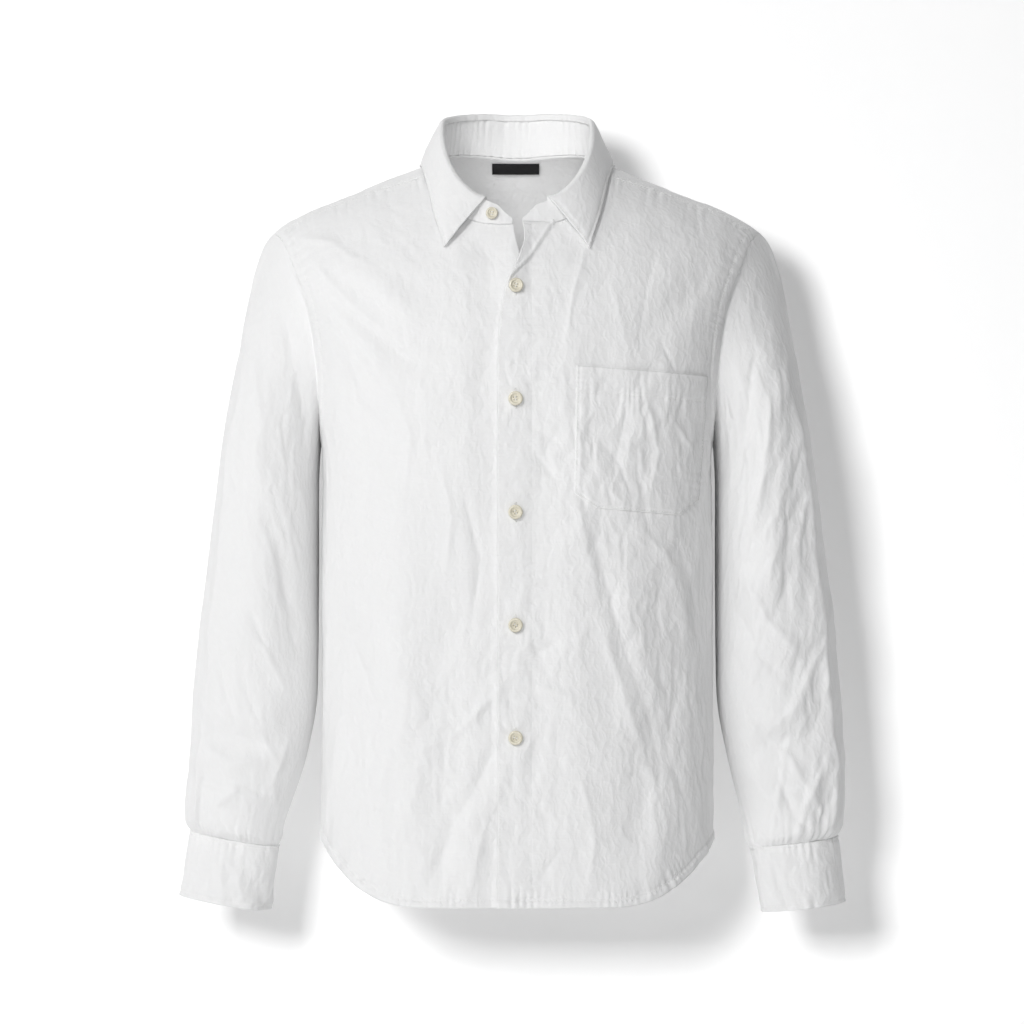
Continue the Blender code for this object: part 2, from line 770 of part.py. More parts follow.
def thicken(piece, wall):
    """Give an open surface its thickness, inwards from its outer side."""
    solid = piece.modifiers.new("Wall", "SOLIDIFY")
    solid.thickness = wall * MM
    solid.offset = -1
    solid.use_even_offset = False


def add_piece(name, mesh, wall, parent, shirt):
    """Put a piece's mesh in the scene with its wall and its own material."""
    piece = bpy.data.objects.new(name, mesh)
    shirt.objects.link(piece)
    piece.parent = parent
    if wall:
        thicken(piece, wall)
    mesh.shade_smooth()
    return piece


def lay_grid(name, across, along, place, flip=False, closed=False):
    """A grid of faces whose points are placed by a function of the stations both ways."""
    u, v = np.meshgrid(across, along)
    points = place(u, v).reshape(3, -1).T * MM
    shape = bmesh.new()
    bmesh.ops.create_grid(shape, x_segments=len(across) - 1, y_segments=len(along) - 1, size=1)
    for vertex, point in zip(shape.verts, points):
        vertex.co = Vector(point)
    if closed:
        bmesh.ops.remove_doubles(shape, verts=shape.verts, dist=0.00001)
    bmesh.ops.triangulate(shape, faces=shape.faces)
    if flip:
        bmesh.ops.reverse_faces(shape, faces=shape.faces)
    mesh = bpy.data.meshes.new(name)
    shape.to_mesh(mesh)
    shape.free()
    return mesh


def cut_from(name, source, planes, lift):
    """A patch of another piece's surface, kept behind each plane and moved out from it."""
    shape = bmesh.new()
    shape.from_mesh(source.data)
    for point, normal in planes:
        whole = shape.verts[:] + shape.edges[:] + shape.faces[:]
        bmesh.ops.bisect_plane(
            shape, geom=whole, dist=0.00001, plane_co=Vector(point) * MM,
            plane_no=Vector(normal), clear_outer=True,
        )
    shape.normal_update()
    moved = [(vertex, vertex.co + vertex.normal * lift * MM) for vertex in shape.verts]
    for vertex, place in moved:
        vertex.co = place
    mesh = bpy.data.meshes.new(name)
    shape.to_mesh(mesh)
    shape.free()
    return mesh


def button_profile(diameter):
    """Half a button's section: flat back, rounded rim, sunk middle."""
    radius = diameter / 2
    return (
        (0.0, BUTTON_THICK * 0.55),
        (radius * 0.52, BUTTON_THICK * 0.55),
        (radius * 0.66, BUTTON_THICK),
        (radius * 0.88, BUTTON_THICK),
        (radius, BUTTON_THICK * 0.62),
        (radius, BUTTON_THICK * 0.3),
        (radius * 0.86, 0.0),
        (0.0, 0.0),
    )


def button_mesh(name, diameter):
    """A button's profile as an edge chain, ready for its Screw modifier."""
    shape = bmesh.new()
    chain = [shape.verts.new((x * MM, 0, z * MM)) for x, z in button_profile(diameter)]
    for first, second in zip(chain, chain[1:]):
        shape.edges.new((first, second))
    mesh = bpy.data.meshes.new(name)
    shape.to_mesh(mesh)
    shape.free()
    return mesh


def add_button(name, diameter, place, facing, parent, shirt, material):
    """Turn a button and seat it with its back on the cloth."""
    button = bpy.data.objects.new(name, button_mesh(name, diameter))
    shirt.objects.link(button)
    button.parent = parent
    turned = button.modifiers.new("Turn", "SCREW")
    turned.steps = 14
    turned.render_steps = 14
    turned.use_merge_vertices = True
    turned.merge_threshold = 0.00001
    button.rotation_euler = Vector(facing).to_track_quat("Z", "Y").to_euler()
    button.location = Vector(place) * MM
    button.data.materials.append(material)


def on_front(x, z):
    """The outer point and the facing of the left front at a place near its edge."""
    xs = x + np.array([[-3.0, 0.0, 3.0]] * 3)
    zs = z + np.array([[-3.0] * 3, [0.0] * 3, [3.0] * 3])
    y = -form_depth(xs, zs, -1.0)
    grid = np.array([xs, y, zs])
    outward = normals(grid)
    grid = grid + outward * fold_lift(xs, zs, FRONT_FOLDS)
    return grid[:, 1, 1], normals(grid)[:, 1, 1]


def front_stations():
    """Across a front: its neck, then its shoulder seam. Up it: side seam, then armhole."""
    across = chain(
        (0, FRONT_NECK_SHARE, stations(NECK_CELLS)),
        (FRONT_NECK_SHARE, 1, stations(SEAM_CELLS, narrow_end=True)),
    )
    up = chain(
        (0, ARMPIT_SHARE, stations(FRONT_LOW_CELLS)),
        (ARMPIT_SHARE, 1, stations(FRONT_ARM_CELLS, narrow_end=True)),
    )
    return across, up


def back_stations():
    """Across the back, and up it by side seam and armhole."""
    up = chain(
        (0, ARMPIT_SHARE, stations(BACK_LOW_CELLS)),
        (ARMPIT_SHARE, 1, stations(BACK_ARM_CELLS, narrow_end=True)),
    )
    return stations(BACK_CELLS, narrow_start=True, narrow_end=True), up


def yoke_stations():
    """Across the yoke: right shoulder seam, neck, left shoulder seam. Then front to back."""
    neck_start = (1 - YOKE_NECK_SHARE) / 2
    across = chain(
        (0, neck_start, stations(SEAM_CELLS, narrow_start=True)),
        (neck_start, 1 - neck_start, stations(YOKE_NECK_CELLS)),
        (1 - neck_start, 1, stations(SEAM_CELLS, narrow_end=True)),
    )
    return across, stations(YOKE_CELLS, narrow_start=True, narrow_end=True)


def sleeve_stations():
    """Round a sleeve by the cells of the front, back and yoke. Then down it."""
    front = front_seam_angle()
    back = 2 * math.pi + back_seam_angle()
    around = chain(
        (front, math.pi, stations(FRONT_ARM_CELLS, narrow_start=True)),
        (math.pi, back, stations(BACK_ARM_CELLS, narrow_end=True)),
        (back, 2 * math.pi + front, stations(YOKE_CELLS, narrow_start=True, narrow_end=True)),
    )
    return around, stations(SLEEVE_CELLS, narrow_start=True, narrow_end=True)


def neck_stations():
    """Round the neck by the cells of the right front, the yoke and the left front."""
    eased = stations(NECK_CELLS) ** NECK_EASE
    return chain(
        (-neck_angle(STAND_END_RIGHT), -NECK_CORNER, eased),
        (-NECK_CORNER, NECK_CORNER, stations(YOKE_NECK_CELLS)),
        (NECK_CORNER, neck_angle(STAND_END_LEFT), 1 - eased[::-1]),
    )


def build_panels(parent, shirt, cloth):
    """The cut pieces that make the shell, as grids on the form."""
    neck_turns = neck_stations()
    leaf_turns = neck_turns[LEAF_SET_BACK:-LEAF_SET_BACK]
    cuff = (stations(CUFF_CELLS), stations(2))
    layout = {
        "front_left": (front_stations(), lambda u, v: front_surface(u, v, 1), False, False, WALL),
        "front_right": (front_stations(), lambda u, v: front_surface(u, v, -1), True, False, WALL),
        "back": (back_stations(), back_surface, False, False, WALL),
        "yoke": (yoke_stations(), yoke_surface, False, False, WALL),
        "sleeve_left": (sleeve_stations(), lambda u, v: sleeve_surface(u, v, 1), False, True, WALL),
        "sleeve_right": (sleeve_stations(), lambda u, v: sleeve_surface(u, v, -1), True, True, WALL),
        "cuff_left": (cuff, lambda u, v: cuff_surface(u, v, 1), False, False, CUFF_WALL),
        "cuff_right": (cuff, lambda u, v: cuff_surface(u, v, -1), True, False, CUFF_WALL),
        "collar_stand": ((neck_turns, stations(2)), stand_surface, False, False, WALL),
        "collar_leaf": ((leaf_turns, stations(LEAF_CELLS)), leaf_surface, False, False, WALL),
    }
    pieces = {}
    for name, (lines, place, flip, closed, wall) in layout.items():
        mesh = lay_grid(name, lines[0], lines[1], place, flip, closed)
        pieces[name] = add_piece(name, mesh, wall, parent, shirt)
        pieces[name].data.materials.append(cloth(name))
    return pieces


def build_laid_on(pieces, parent, shirt, cloth, ink):
    """The pieces that lie on a panel: placket, pocket and label."""
    placket_planes = [((PLACKET_STITCH, 0, 0), (1, 0, 0)), ((0, 0, PLACKET_TOP), (0, 0, 1))]
    placket = cut_from("placket", pieces["front_left"], placket_planes, LIFT)
    pocket_planes = [
        ((55.0, 0, -206), (-1, 0, -0.024)),
        ((178.0, 0, -213), (1, 0, -0.09)),
        ((55.0, 0, -205), (0.062, 0, 1)),
        ((74.0, 0, -336), (-0.075, 0, -1)),
        ((53.0, 0, -322), (-0.62, 0, -0.85)),
        ((152.0, 0, -343), (0.68, 0, -0.75)),
    ]
    pocket = cut_from("pocket", pieces["front_left"], pocket_planes, LIFT)
    label_planes = [
        ((22.0, 0, 0), (1, 0, 0)),
        ((-24.4, 0, 0), (-1, 0, 0)),
        ((0, 0, -0.8), (0, 0, 1)),
        ((0, 0, -10.6), (0, 0, -1)),
    ]
    label = cut_from("label", pieces["yoke"], label_planes, -(WALL + LIFT))
    add_piece("placket", placket, -BAND_WALL, parent, shirt).data.materials.append(cloth("placket"))
    add_piece("pocket", pocket, -BAND_WALL, parent, shirt).data.materials.append(cloth("pocket"))
    add_piece("label", label, 0.6, parent, shirt).data.materials.append(ink)


def on_surface(place, u, v, step_u, step_v):
    """The point and the outward facing of a band at one place on its grid."""
    us, vs = np.meshgrid((u - step_u, u, u + step_u), (v - step_v, v, v + step_v))
    grid = place(us, vs)
    return grid[:, 1, 1], normals(grid)[:, 1, 1]


def build_buttons(parent, shirt, resin):
    """The five front buttons, the one on the collar stand, and one on each cuff."""
    for number in range(BUTTON_COUNT):
        place, facing = on_front(BUTTON_X, BUTTON_TOP_Z - number * BUTTON_PITCH)
        name = f"button_{number + 1}"
        add_button(name, BUTTON_DIAMETER, place + facing * SEAT, facing, parent, shirt, resin)
    place, inward = on_surface(stand_surface, -neck_angle(STAND_BUTTON_X), 0.46, 0.01, 0.1)
    facing = -inward
    place = place + facing * STAND_SEAT
    add_button("button_stand", SMALL_BUTTON_DIAMETER, place, facing, parent, shirt, resin)
    turns = 2 * math.pi + CUFF_LAP
    for name, hand in (("cuff_button_left", 1), ("cuff_button_right", -1)):
        around = (CUFF_BUTTON_TURN - CUFF_BEGIN + 2 * math.pi) / turns
        place, facing = on_surface(lambda u, v: cuff_surface(u, v, hand), around, 0.5, 0.004, 0.05)
        place = place + facing * hand * SMALL_SEAT
        add_button(name, SMALL_BUTTON_DIAMETER, place, facing * hand, parent, shirt, resin)


def main():
    for thing in list(bpy.data.objects):
        bpy.data.objects.remove(thing)
    shirt = bpy.data.collections.new("poplin_shirt")
    bpy.context.scene.collection.children.link(shirt)
    parent = bpy.data.objects.new("shirt", None)
    shirt.objects.link(parent)
    resin = finish("button_resin", RESIN, 0.35)
    ink = finish("label_cloth", INK, 0.8)

    def cloth(name):
        return finish(name + "_poplin", CLOTH, 0.85)

    pieces = build_panels(parent, shirt, cloth)
    build_laid_on(pieces, parent, shirt, cloth, ink)
    build_buttons(parent, shirt, resin)


main()
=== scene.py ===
"""A crumpled poplin shirt in a pale studio, filled out as it is worn, with nobody in it.

The front faces -Y and the wearer's left is at +X. Sizes are in millimetres until a mesh is
made, which is in metres. Each cloth piece is a thin shell on the form of its rigid solid: the
same body form, seams and large folds, with a much finer grid for creases, puckers and seams.
"""

import logging
import math
from dataclasses import dataclass, field
from enum import Enum
from typing import Callable, Iterable, Sequence

import bmesh
import bpy
import numpy as np
from bpy.types import Material, Mesh, Node, NodeSocket, NodeTree, Object
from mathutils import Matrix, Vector

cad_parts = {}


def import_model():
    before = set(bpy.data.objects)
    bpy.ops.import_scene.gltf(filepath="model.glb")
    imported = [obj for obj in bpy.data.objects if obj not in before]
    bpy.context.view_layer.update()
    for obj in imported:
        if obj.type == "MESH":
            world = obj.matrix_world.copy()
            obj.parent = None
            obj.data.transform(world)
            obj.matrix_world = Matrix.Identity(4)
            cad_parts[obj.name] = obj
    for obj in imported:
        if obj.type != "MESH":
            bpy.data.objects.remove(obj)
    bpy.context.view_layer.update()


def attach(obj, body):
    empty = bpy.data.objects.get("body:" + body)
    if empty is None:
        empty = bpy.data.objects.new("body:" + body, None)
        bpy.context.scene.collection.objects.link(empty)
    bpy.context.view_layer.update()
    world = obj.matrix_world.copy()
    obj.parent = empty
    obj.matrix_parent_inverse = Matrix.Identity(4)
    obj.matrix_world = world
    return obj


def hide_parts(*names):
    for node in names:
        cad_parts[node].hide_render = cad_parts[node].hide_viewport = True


LOG = logging.getLogger("shirt")
Array = np.ndarray
MM = 0.001
TINY = 1e-9
TURN = 2 * math.pi
UP = np.array([0.0, 0.0, 1.0])[:, None, None]


class Side(Enum):
    """Which of a pair, from the wearer; the value is the sign of x."""

    LEFT = 1
    RIGHT = -1

    def of(self, piece: str) -> str:
        """The name of this one of a pair of pieces."""
        return f"{piece}_{self.name.lower()}"


class Edge(Enum):
    """An edge of a grid of cloth points."""

    START = "first column"
    END = "last column"
    FOOT = "first row"
    HEAD = "last row"


class SizeTable:
    """Rows of sizes with named columns, read smoothly between the rows."""

    def __init__(self, columns: str, *rows: Sequence[float]) -> None:
        """Keeps the rows; the first column is the one that is looked up."""
        self.columns = columns.split()
        self.rows = np.array(rows, float)

    def __call__(self, column: str, at: Array) -> Array:
        """Reads a column.

        Args:
            column: The column's name.
            at: Where the first column is.

        Returns:
            The column's value there, on a smooth curve through the rows.
        """
        key = self.rows[:, 0]
        value = self.rows[:, self.columns.index(column)]
        slope = np.gradient(value, key)
        at = np.clip(at, key[0], key[-1])
        low = np.clip(np.searchsorted(key, at) - 1, 0, len(key) - 2)
        step = key[low + 1] - key[low]
        t = (at - key[low]) / step
        start = (1 + 2 * t) * (1 - t) ** 2 * value[low] + t * (1 - t) ** 2 * step * slope[low]
        end = t * t * (3 - 2 * t) * value[low + 1] + t * t * (t - 1) * step * slope[low + 1]
        return start + end


def sizes(columns: str, *rows: Sequence[float]) -> SizeTable:
    """A dataclass field that holds a table of sizes."""
    return field(default_factory=lambda: SizeTable(columns, *rows))


def drawn(text: str) -> tuple:
    """Folds or creases as tuples of numbers, from text like "w h x,z x,z; w h x,z x,z"."""
    rows = [[tuple(map(float, word.split(","))) for word in row.split()] for row in text.split(";")]
    return tuple(tuple(word if len(word) > 1 else word[0] for word in row) for row in rows)


def ease(t: Array) -> Array:
    """0 to 1 with a level start and end."""
    return t * t * (3 - 2 * t)


def ramp(start: float, end: float, at: Array) -> Array:
    """0 before start, 1 after end, smooth between them."""
    return ease(np.clip((at - start) / (end - start), 0, 1))


def bell(off: Array, width: float) -> Array:
    """1 where off is 0, falling away on both sides."""
    return np.exp(-((off / width) ** 2))


def mix(first: Array, second: Array, share: Array) -> Array:
    """A share of the way from the first to the second."""
    return first + (second - first) * share


def stack(*parts: Array) -> Array:
    """Three coordinates as one array of points, each brought to the same shape."""
    return np.stack(np.broadcast_arrays(*parts)).astype(float)


def lattice(start: float, end: float, pitch: float) -> Array:
    """Evenly spaced numbers from start to end, about a pitch apart."""
    return np.linspace(start, end, max(2, int(round(abs(end - start) / pitch)) + 1))


def unit_square(pitch: float, width: float, length: float) -> tuple[Array, Array]:
    """Shares across in one row and along in one column, about a pitch apart."""
    return lattice(0, 1, pitch / width)[None, :], lattice(0, 1, pitch / length)[:, None]


def unit(vectors: Array, axis: int = 0) -> Array:
    """Vectors brought to a length of 1."""
    return vectors / np.maximum(np.linalg.norm(vectors, axis=axis, keepdims=True), TINY)


def running(steps: Array) -> Array:
    """The running length at each point of a line, from its steps' lengths."""
    return np.concatenate([[0], np.cumsum(steps)])


def halve(inside: Callable, low: Array, high: Array, steps: int) -> Array:
    """The furthest place that is inside, by halving between low, which is, and high."""
    for _ in range(steps):
        middle = (low + high) / 2
        within = inside(middle)
        low, high = np.where(within, middle, low), np.where(within, high, middle)
    return low


def waver(along: Array, seed: int, length: float) -> Array:
    """A smooth uneven line between -1 and 1.

    Args:
        along: Running length in millimetres.
        seed: Picks the line.
        length: Millimetres between its free values.

    Returns:
        The line's value at each place.
    """
    values = np.random.default_rng(seed).uniform(-1, 1, 512)
    place = np.asarray(along) / length + 128.0
    low = np.floor(place).astype(int)
    t = ease(place - low)
    return values[low % 512] * (1 - t) + values[(low + 1) % 512] * t


def drift(across: Array, down: Array, seed: int, length: float) -> Array:
    """A smooth uneven field between -1 and 1.

    Args:
        across: First coordinate in millimetres.
        down: Second coordinate.
        seed: Picks the field.
        length: Millimetres between its free values.

    Returns:
        The field's value at each place.
    """
    values = np.random.default_rng(seed).uniform(-1, 1, (256, 256))
    total = 0.0
    u, v = across / length + 4096.0, down / length + 4096.0
    i, j = np.floor(u).astype(int), np.floor(v).astype(int)
    fu, fv = ease(u - i), ease(v - j)
    for du, dv in np.ndindex(2, 2):
        weight = np.where(du, fu, 1 - fu) * np.where(dv, fv, 1 - fv)
        total += weight * values[(i + du) & 255, (j + dv) & 255]
    return total


@dataclass(frozen=True)
class Facets:
    """Cloth crushed into small flat triangles that meet in crisp creases.

    The corners of a lattice stand at uneven heights and each triangle between them is flat.
    The lattice is turned, drawn out down the cloth and bent, so that no two facets are alike.
    """

    cell: float
    height: float
    seed: int
    turn: float
    stretch: float = 1.8

    def relief(self, across: Array, down: Array) -> Array:
        """Works out the relief.

        Args:
            across: Place across the flat cloth, in millimetres.
            down: Place along it.

        Returns:
            How far each point stands out, in millimetres.
        """
        values = np.random.default_rng(self.seed).uniform(-1, 1, (256, 256))
        bend = 0.55 * self.cell
        a = across + bend * drift(across, down / 1.4, self.seed + 1, 1.9 * self.cell)
        b = down / self.stretch + bend * drift(across, down / 1.4, self.seed + 2, 1.9 * self.cell)
        cosine, sine = math.cos(self.turn), math.sin(self.turn)
        u = (a * cosine - b * sine) / self.cell + 4096.0
        v = (a * sine + b * cosine) / self.cell + 4096.0
        i, j = np.floor(u).astype(int), np.floor(v).astype(int)
        fu, fv = u - i, v - j

        def corner(du: int, dv: int) -> Array:
            return values[(i + du) & 255, (j + dv) & 255]

        low = corner(0, 0) * (1 - fu - fv) + corner(1, 0) * fu + corner(0, 1) * fv
        high = corner(1, 1) * (fu + fv - 1) + corner(0, 1) * (1 - fu) + corner(1, 0) * (1 - fv)
        return self.height * np.where(fu + fv < 1, low, high)


@dataclass(frozen=True)
class Crumple:
    """How washed poplin dries: soft swells, then facets of a hand's width down to a finger's."""

    layers: tuple = (
        Facets(58, 1.5, 11, 0.3, 2.0),
        Facets(25, 0.85, 21, 1.1, 1.7),
        Facets(13, 0.60, 31, 2.0, 1.5),
        Facets(6.6, 0.46, 41, 0.7, 1.3),
    )

    def height(self, across: Array, down: Array, shift: float = 0.0) -> Array:
        """The relief on the flat cloth; a shift keeps pieces from repeating each other."""
        uneven = 0.75 + 0.45 * drift(across, down, 91, 75.0)
        return uneven * sum(part.relief(across + shift, down + shift) for part in self.layers)


@dataclass(frozen=True)
class Pucker:
    """The small gathers that a shrunken seam draws up beside it."""

    pitch: float
    reach: float
    height: float
    seed: int

    def lift(self, along: Array, away: Array) -> Array:
        """Works out the gathers.

        Args:
            along: Running length of the seam, in millimetres.
            away: Distance from the seam, in millimetres.

        Returns:
            The height in millimetres.
        """
        phase = along / self.pitch + 1.1 * waver(along, self.seed, 2.3 * self.pitch)
        ridge = np.sin(TURN * phase) + 0.35 * np.sin(2 * TURN * phase + 1.1)
        strength = 0.5 + 0.5 * waver(along, self.seed + 1, 2.6 * self.pitch)
        reach = self.reach * (1 + 0.6 * waver(along, self.seed + 2, 1.3 * self.pitch))
        return self.height * strength * ridge * np.exp(-np.maximum(away, 0) / reach)


def fold_lift(
    across: Array, down: Array, folds: Iterable[Sequence[float]], uneven: float = 0.0
) -> Array:
    """Adds up folds that are laid out.

    Args:
        across: The cloth's first coordinate, in millimetres.
        down: Its second coordinate.
        folds: For each fold both ends of its crest, its half width and its height.
        uneven: How far a crest strays from its straight line, as a share of its half width.

    Returns:
        The height in millimetres.
    """
    lift = np.zeros(np.broadcast(across, down).shape)
    for number, (x1, z1, x2, z2, half_width, height) in enumerate(folds):
        length = math.hypot(x2 - x1, z2 - z1)
        ux, uz = (x2 - x1) / length, (z2 - z1) / length
        along = (across - x1) * ux + (down - z1) * uz
        off = (across - x1) * uz - (down - z1) * ux
        off += uneven * half_width * waver(along, 200 + number, 2.2 * half_width + 6)
        inside = ramp(-half_width, 0.3 * length, along)
        inside *= ramp(length + half_width, 0.7 * length, along)
        lift += height * bell(off, half_width) * inside
    return lift


@dataclass
class Torso:
    """The body's form: flat-sided rings from hem to armpit, arched over to the shoulders."""

    ring_power: float = 2.7
    reference_half_width: float = 187.0
    reference_depth: float = 116.0
    arch_start: float = -200.0
    neck_half_width: float = 73.0
    neck_middle_y: float = -23.0
    neck_depth: float = 69.0
    neck_front_power: float = 3.2
    neck_corner: float = math.radians(97.5)
    neck_ease: float = 1.7
    seam_forward_at_neck: float = 42.3
    seam_forward_at_tip: float = 20.0
    shoulder_tip_x: float = 226.0
    yoke_drop: float = -95.0
    armhole_middle_z: float = -172.5
    armhole_half_height: float = 99.5
    armhole_front: float = 61.0
    armhole_back: float = 66.0
    hem_front: float = -706.0
    hem_back: float = -716.0
    hem_side_rise: float = 56.0
    hem_flat_half: float = 88.0
    hem_power: float = 2.4
    # The panels' side edges: how far up the armpit is, and how nearly they reach the side
    armpit_share: float = 0.62
    side_share: float = 0.999
    body: SizeTable = sizes(
        "height half_width front back", (-730, 187.0, 118, 118), (-600, 187.0, 114, 109),
        (-480, 187.0, 112, 105), (-380, 187.0, 116, 110), (-272, 187.0, 120, 117),
        (-215, 196.5, 119, 120), (-147, 212.5, 117, 120), (-95, 231.0, 114, 118),
        (-60, 236.0, 111, 116), (40, 238.0, 108, 112),
    )
    ridge: SizeTable = sizes(
        "x height", (0, 24.0), (25, 21.5), (50, 12.0), (73, -1.5), (90, -9.0), (135, -26.5),
        (160, -37.0), (200, -52.0), (222, -64.0), (240, -78.0),
    )

    def __post_init__(self) -> None:
        """Works out a quarter ring and the share of its length at each of its points."""
        angle = np.linspace(0, math.pi / 2, 6001)
        self.ring_x = np.sin(angle) ** (2 / self.ring_power)
        self.ring_y = np.abs(np.cos(angle)) ** (2 / self.ring_power)
        steps = np.hypot(
            np.diff(self.ring_x) * self.reference_half_width,
            np.diff(self.ring_y) * self.reference_depth,
        )
        length = running(steps)
        self.quarter = float(length[-1])
        self.ring_share = length / length[-1]
        self.armpit_z = self.armhole_middle_z - self.armhole_half_height

    def half_width(self, z: Array) -> Array:
        """Half the body's width at a height."""
        return self.body("half_width", z)

    def full_depth(self, z: Array, side: Array) -> Array:
        """Half the body's depth at a height, in front where side is negative."""
        return np.where(np.asarray(side) < 0, self.body("front", z), self.body("back", z))

    def arch(self, x: Array, z: Array) -> Array:
        """How much of its depth the form keeps as it closes over to the shoulder ridge."""
        rise = (z - self.arch_start) / (self.ridge("height", np.abs(x)) - self.arch_start)
        return np.sqrt(1 - np.clip(rise, 0, 1) ** 2)

    def depth(self, x: Array, z: Array, side: Array) -> Array:
        """How far the form stands from the middle plane."""
        share = np.clip(np.abs(x) / self.half_width(z), 0, 1)
        round_off = (1 - share**self.ring_power) ** (1 / self.ring_power)
        return self.full_depth(z, side) * round_off * self.arch(x, z)

    def point(self, share: Array, z: Array, side: float) -> Array:
        """A point of the form, by its signed share of the way round and its height."""
        size = np.abs(share)
        x = self.half_width(z) * np.sign(share) * np.interp(size, self.ring_share, self.ring_x)
        flat = np.interp(size, self.ring_share, self.ring_y)
        return stack(x, side * self.full_depth(z, side) * flat * self.arch(x, z), z)

    def height_over(self, x: Array, y: Array) -> Array:
        """The form's height over a point of the plan: down from the ridge, then by halving."""
        step = 1.5
        low = self.ridge("height", np.abs(x)) + 0.0 * y
        for _ in range(90):
            low = np.where(self.depth(x, low, y) < np.abs(y), low - step, low)
        return halve(lambda z: self.depth(x, z, y) > np.abs(y), low, low + step, 14)

    def reach(self, y: Array, z: Array) -> Array:
        """How far out sideways the form is at a point of the side view."""
        low = np.full(np.broadcast(y, z).shape, 80.0)
        high = self.half_width(z) + 0 * low
        return halve(lambda x: self.depth(x, z, y) > np.abs(y), low, high, 36)

    def share_round(self, point: Array) -> Array:
        """The share of the way round at which a point of the form lies."""
        x, y, z = point
        across = np.abs(x) / self.half_width(z)
        deep = np.abs(y) / (self.full_depth(z, y) * np.maximum(self.arch(x, z), 1e-3))
        near_middle = np.interp(across, self.ring_x, self.ring_share)
        near_side = np.interp(-deep, -self.ring_y, self.ring_share)
        return np.where(across < 0.9, near_middle, near_side)

    def girth(self, point: Array) -> Array:
        """How far round the form a point lies from the middle, in millimetres."""
        return np.sign(point[0]) * self.share_round(point) * self.quarter

    def flat_place(self, point: Array) -> Array:
        """A point of the form as its signed share round and its height."""
        return np.array([np.sign(point[0]) * self.share_round(point), point[2]])

    def armhole(self, angle: Array) -> Array:
        """The left armhole seam, by the angle from its top round by the front."""
        sine = np.sin(angle)
        y = -np.where(sine > 0, self.armhole_front, self.armhole_back) * sine
        z = self.armhole_middle_z + self.armhole_half_height * np.cos(angle)
        return stack(self.reach(y, z), y, z)

    def neck(self, angle: Array) -> Array:
        """The neck seam, by the angle from the middle of the back; x follows its sign."""
        turn = np.abs(angle)
        power = np.where(turn > math.pi / 2, 2 / self.neck_front_power, 1.0)
        x = np.sign(angle) * self.neck_half_width * np.abs(np.sin(turn)) ** power
        cosine = np.cos(turn)
        y = self.neck_middle_y + self.neck_depth * np.sign(cosine) * (np.abs(cosine) ** power)
        return stack(x, y, self.height_over(x, y))

    def neck_turns(self, first: float, last: float, pitch: float) -> Array:
        """Angles of the neck seam that are a pitch apart along it, in one row."""
        angle = np.linspace(first, last, 3000)
        length = running(np.linalg.norm(np.diff(self.neck(angle), axis=1), axis=0))
        return np.interp(lattice(0, length[-1], pitch), length, angle)[None, :]

    def neck_angle(self, x: float) -> float:
        """The angle of the neck seam in front at a distance from the middle."""
        share = (x / self.neck_half_width) ** (self.neck_front_power / 2)
        return math.pi - math.asin(share)

    def front_seam_angle(self, shift: float = 0.0) -> float:
        """Where on the armhole the shoulder seam ends, moved back by a shift."""
        return math.asin((self.seam_forward_at_tip - shift) / self.armhole_front)

    def back_seam_angle(self, drop: float = 0.0) -> float:
        """Where on the armhole the back yoke seam ends, moved down by a drop."""
        rise = self.yoke_drop - drop - self.armhole_middle_z
        return -math.acos(rise / self.armhole_half_height)

    def shoulder_seam(self, share: Array, shift: float = 0.0) -> Array:
        """The shoulder seam from the neck to the armhole, moved back by a shift."""
        start = self.neck(np.array(self.neck_corner))[0]
        x = mix(start, self.armhole(np.array(self.front_seam_angle(shift)))[0], share)
        run = (np.abs(x) - self.neck_half_width) / (self.shoulder_tip_x - self.neck_half_width)
        y = shift - mix(self.seam_forward_at_neck, self.seam_forward_at_tip, run)
        return stack(x, y, self.height_over(x, y))

    def hem_height(self, share: Array, side: float) -> Array:
        """The shirt tail's height at a share of the way round."""
        x = self.reference_half_width * np.interp(np.abs(share), self.ring_share, self.ring_x)
        lowest = self.hem_front if side < 0 else self.hem_back
        rise = self.hem_side_rise + self.hem_front - lowest
        past = (x - self.hem_flat_half) / (self.reference_half_width - self.hem_flat_half)
        return lowest + rise * np.clip(past, 0, 1) ** self.hem_power

    def error(self, x: Array, y: Array, z: Array) -> Array:
        """Zero on the form and more outside it, by the side's rule below the arch."""
        share = np.clip(np.abs(x) / self.half_width(z), 0, 1.2)
        deep = np.abs(y) / self.full_depth(z, y)
        side = share**self.ring_power + deep**self.ring_power - 1
        round_off = np.maximum(1 - share**self.ring_power, 1e-4) ** (1 / self.ring_power)
        top = self.ridge("height", np.abs(x)) - self.arch_start
        rise = np.maximum(z - self.arch_start, 0) / top
        return np.where(z < self.arch_start, side, (deep / round_off) ** 2 + rise**2 - 1)

    def normal(self, point: Array) -> Array:
        """The form's outward normal, from small steps each way."""
        x, y, z = point
        step = 0.2
        ways = ((step, 0, 0), (0, step, 0), (0, 0, step))
        return unit(np.array([
            self.error(x + a, y + b, z + c) - self.error(x - a, y - b, z - c) for a, b, c in ways
        ]))

    def leave_armhole(self, angle: Array) -> Array:
        """The direction that leaves the body across the armhole seam, along the cloth."""
        here = self.armhole(angle)
        along = self.armhole(angle + 0.01) - self.armhole(angle - 0.01)
        leave = unit(np.cross(along, self.normal(here), axis=0))
        to_middle = (self.armhole_middle_z - here[2]) * leave[2] - here[1] * leave[1]
        return leave * np.where(to_middle < 0, -1, 1)

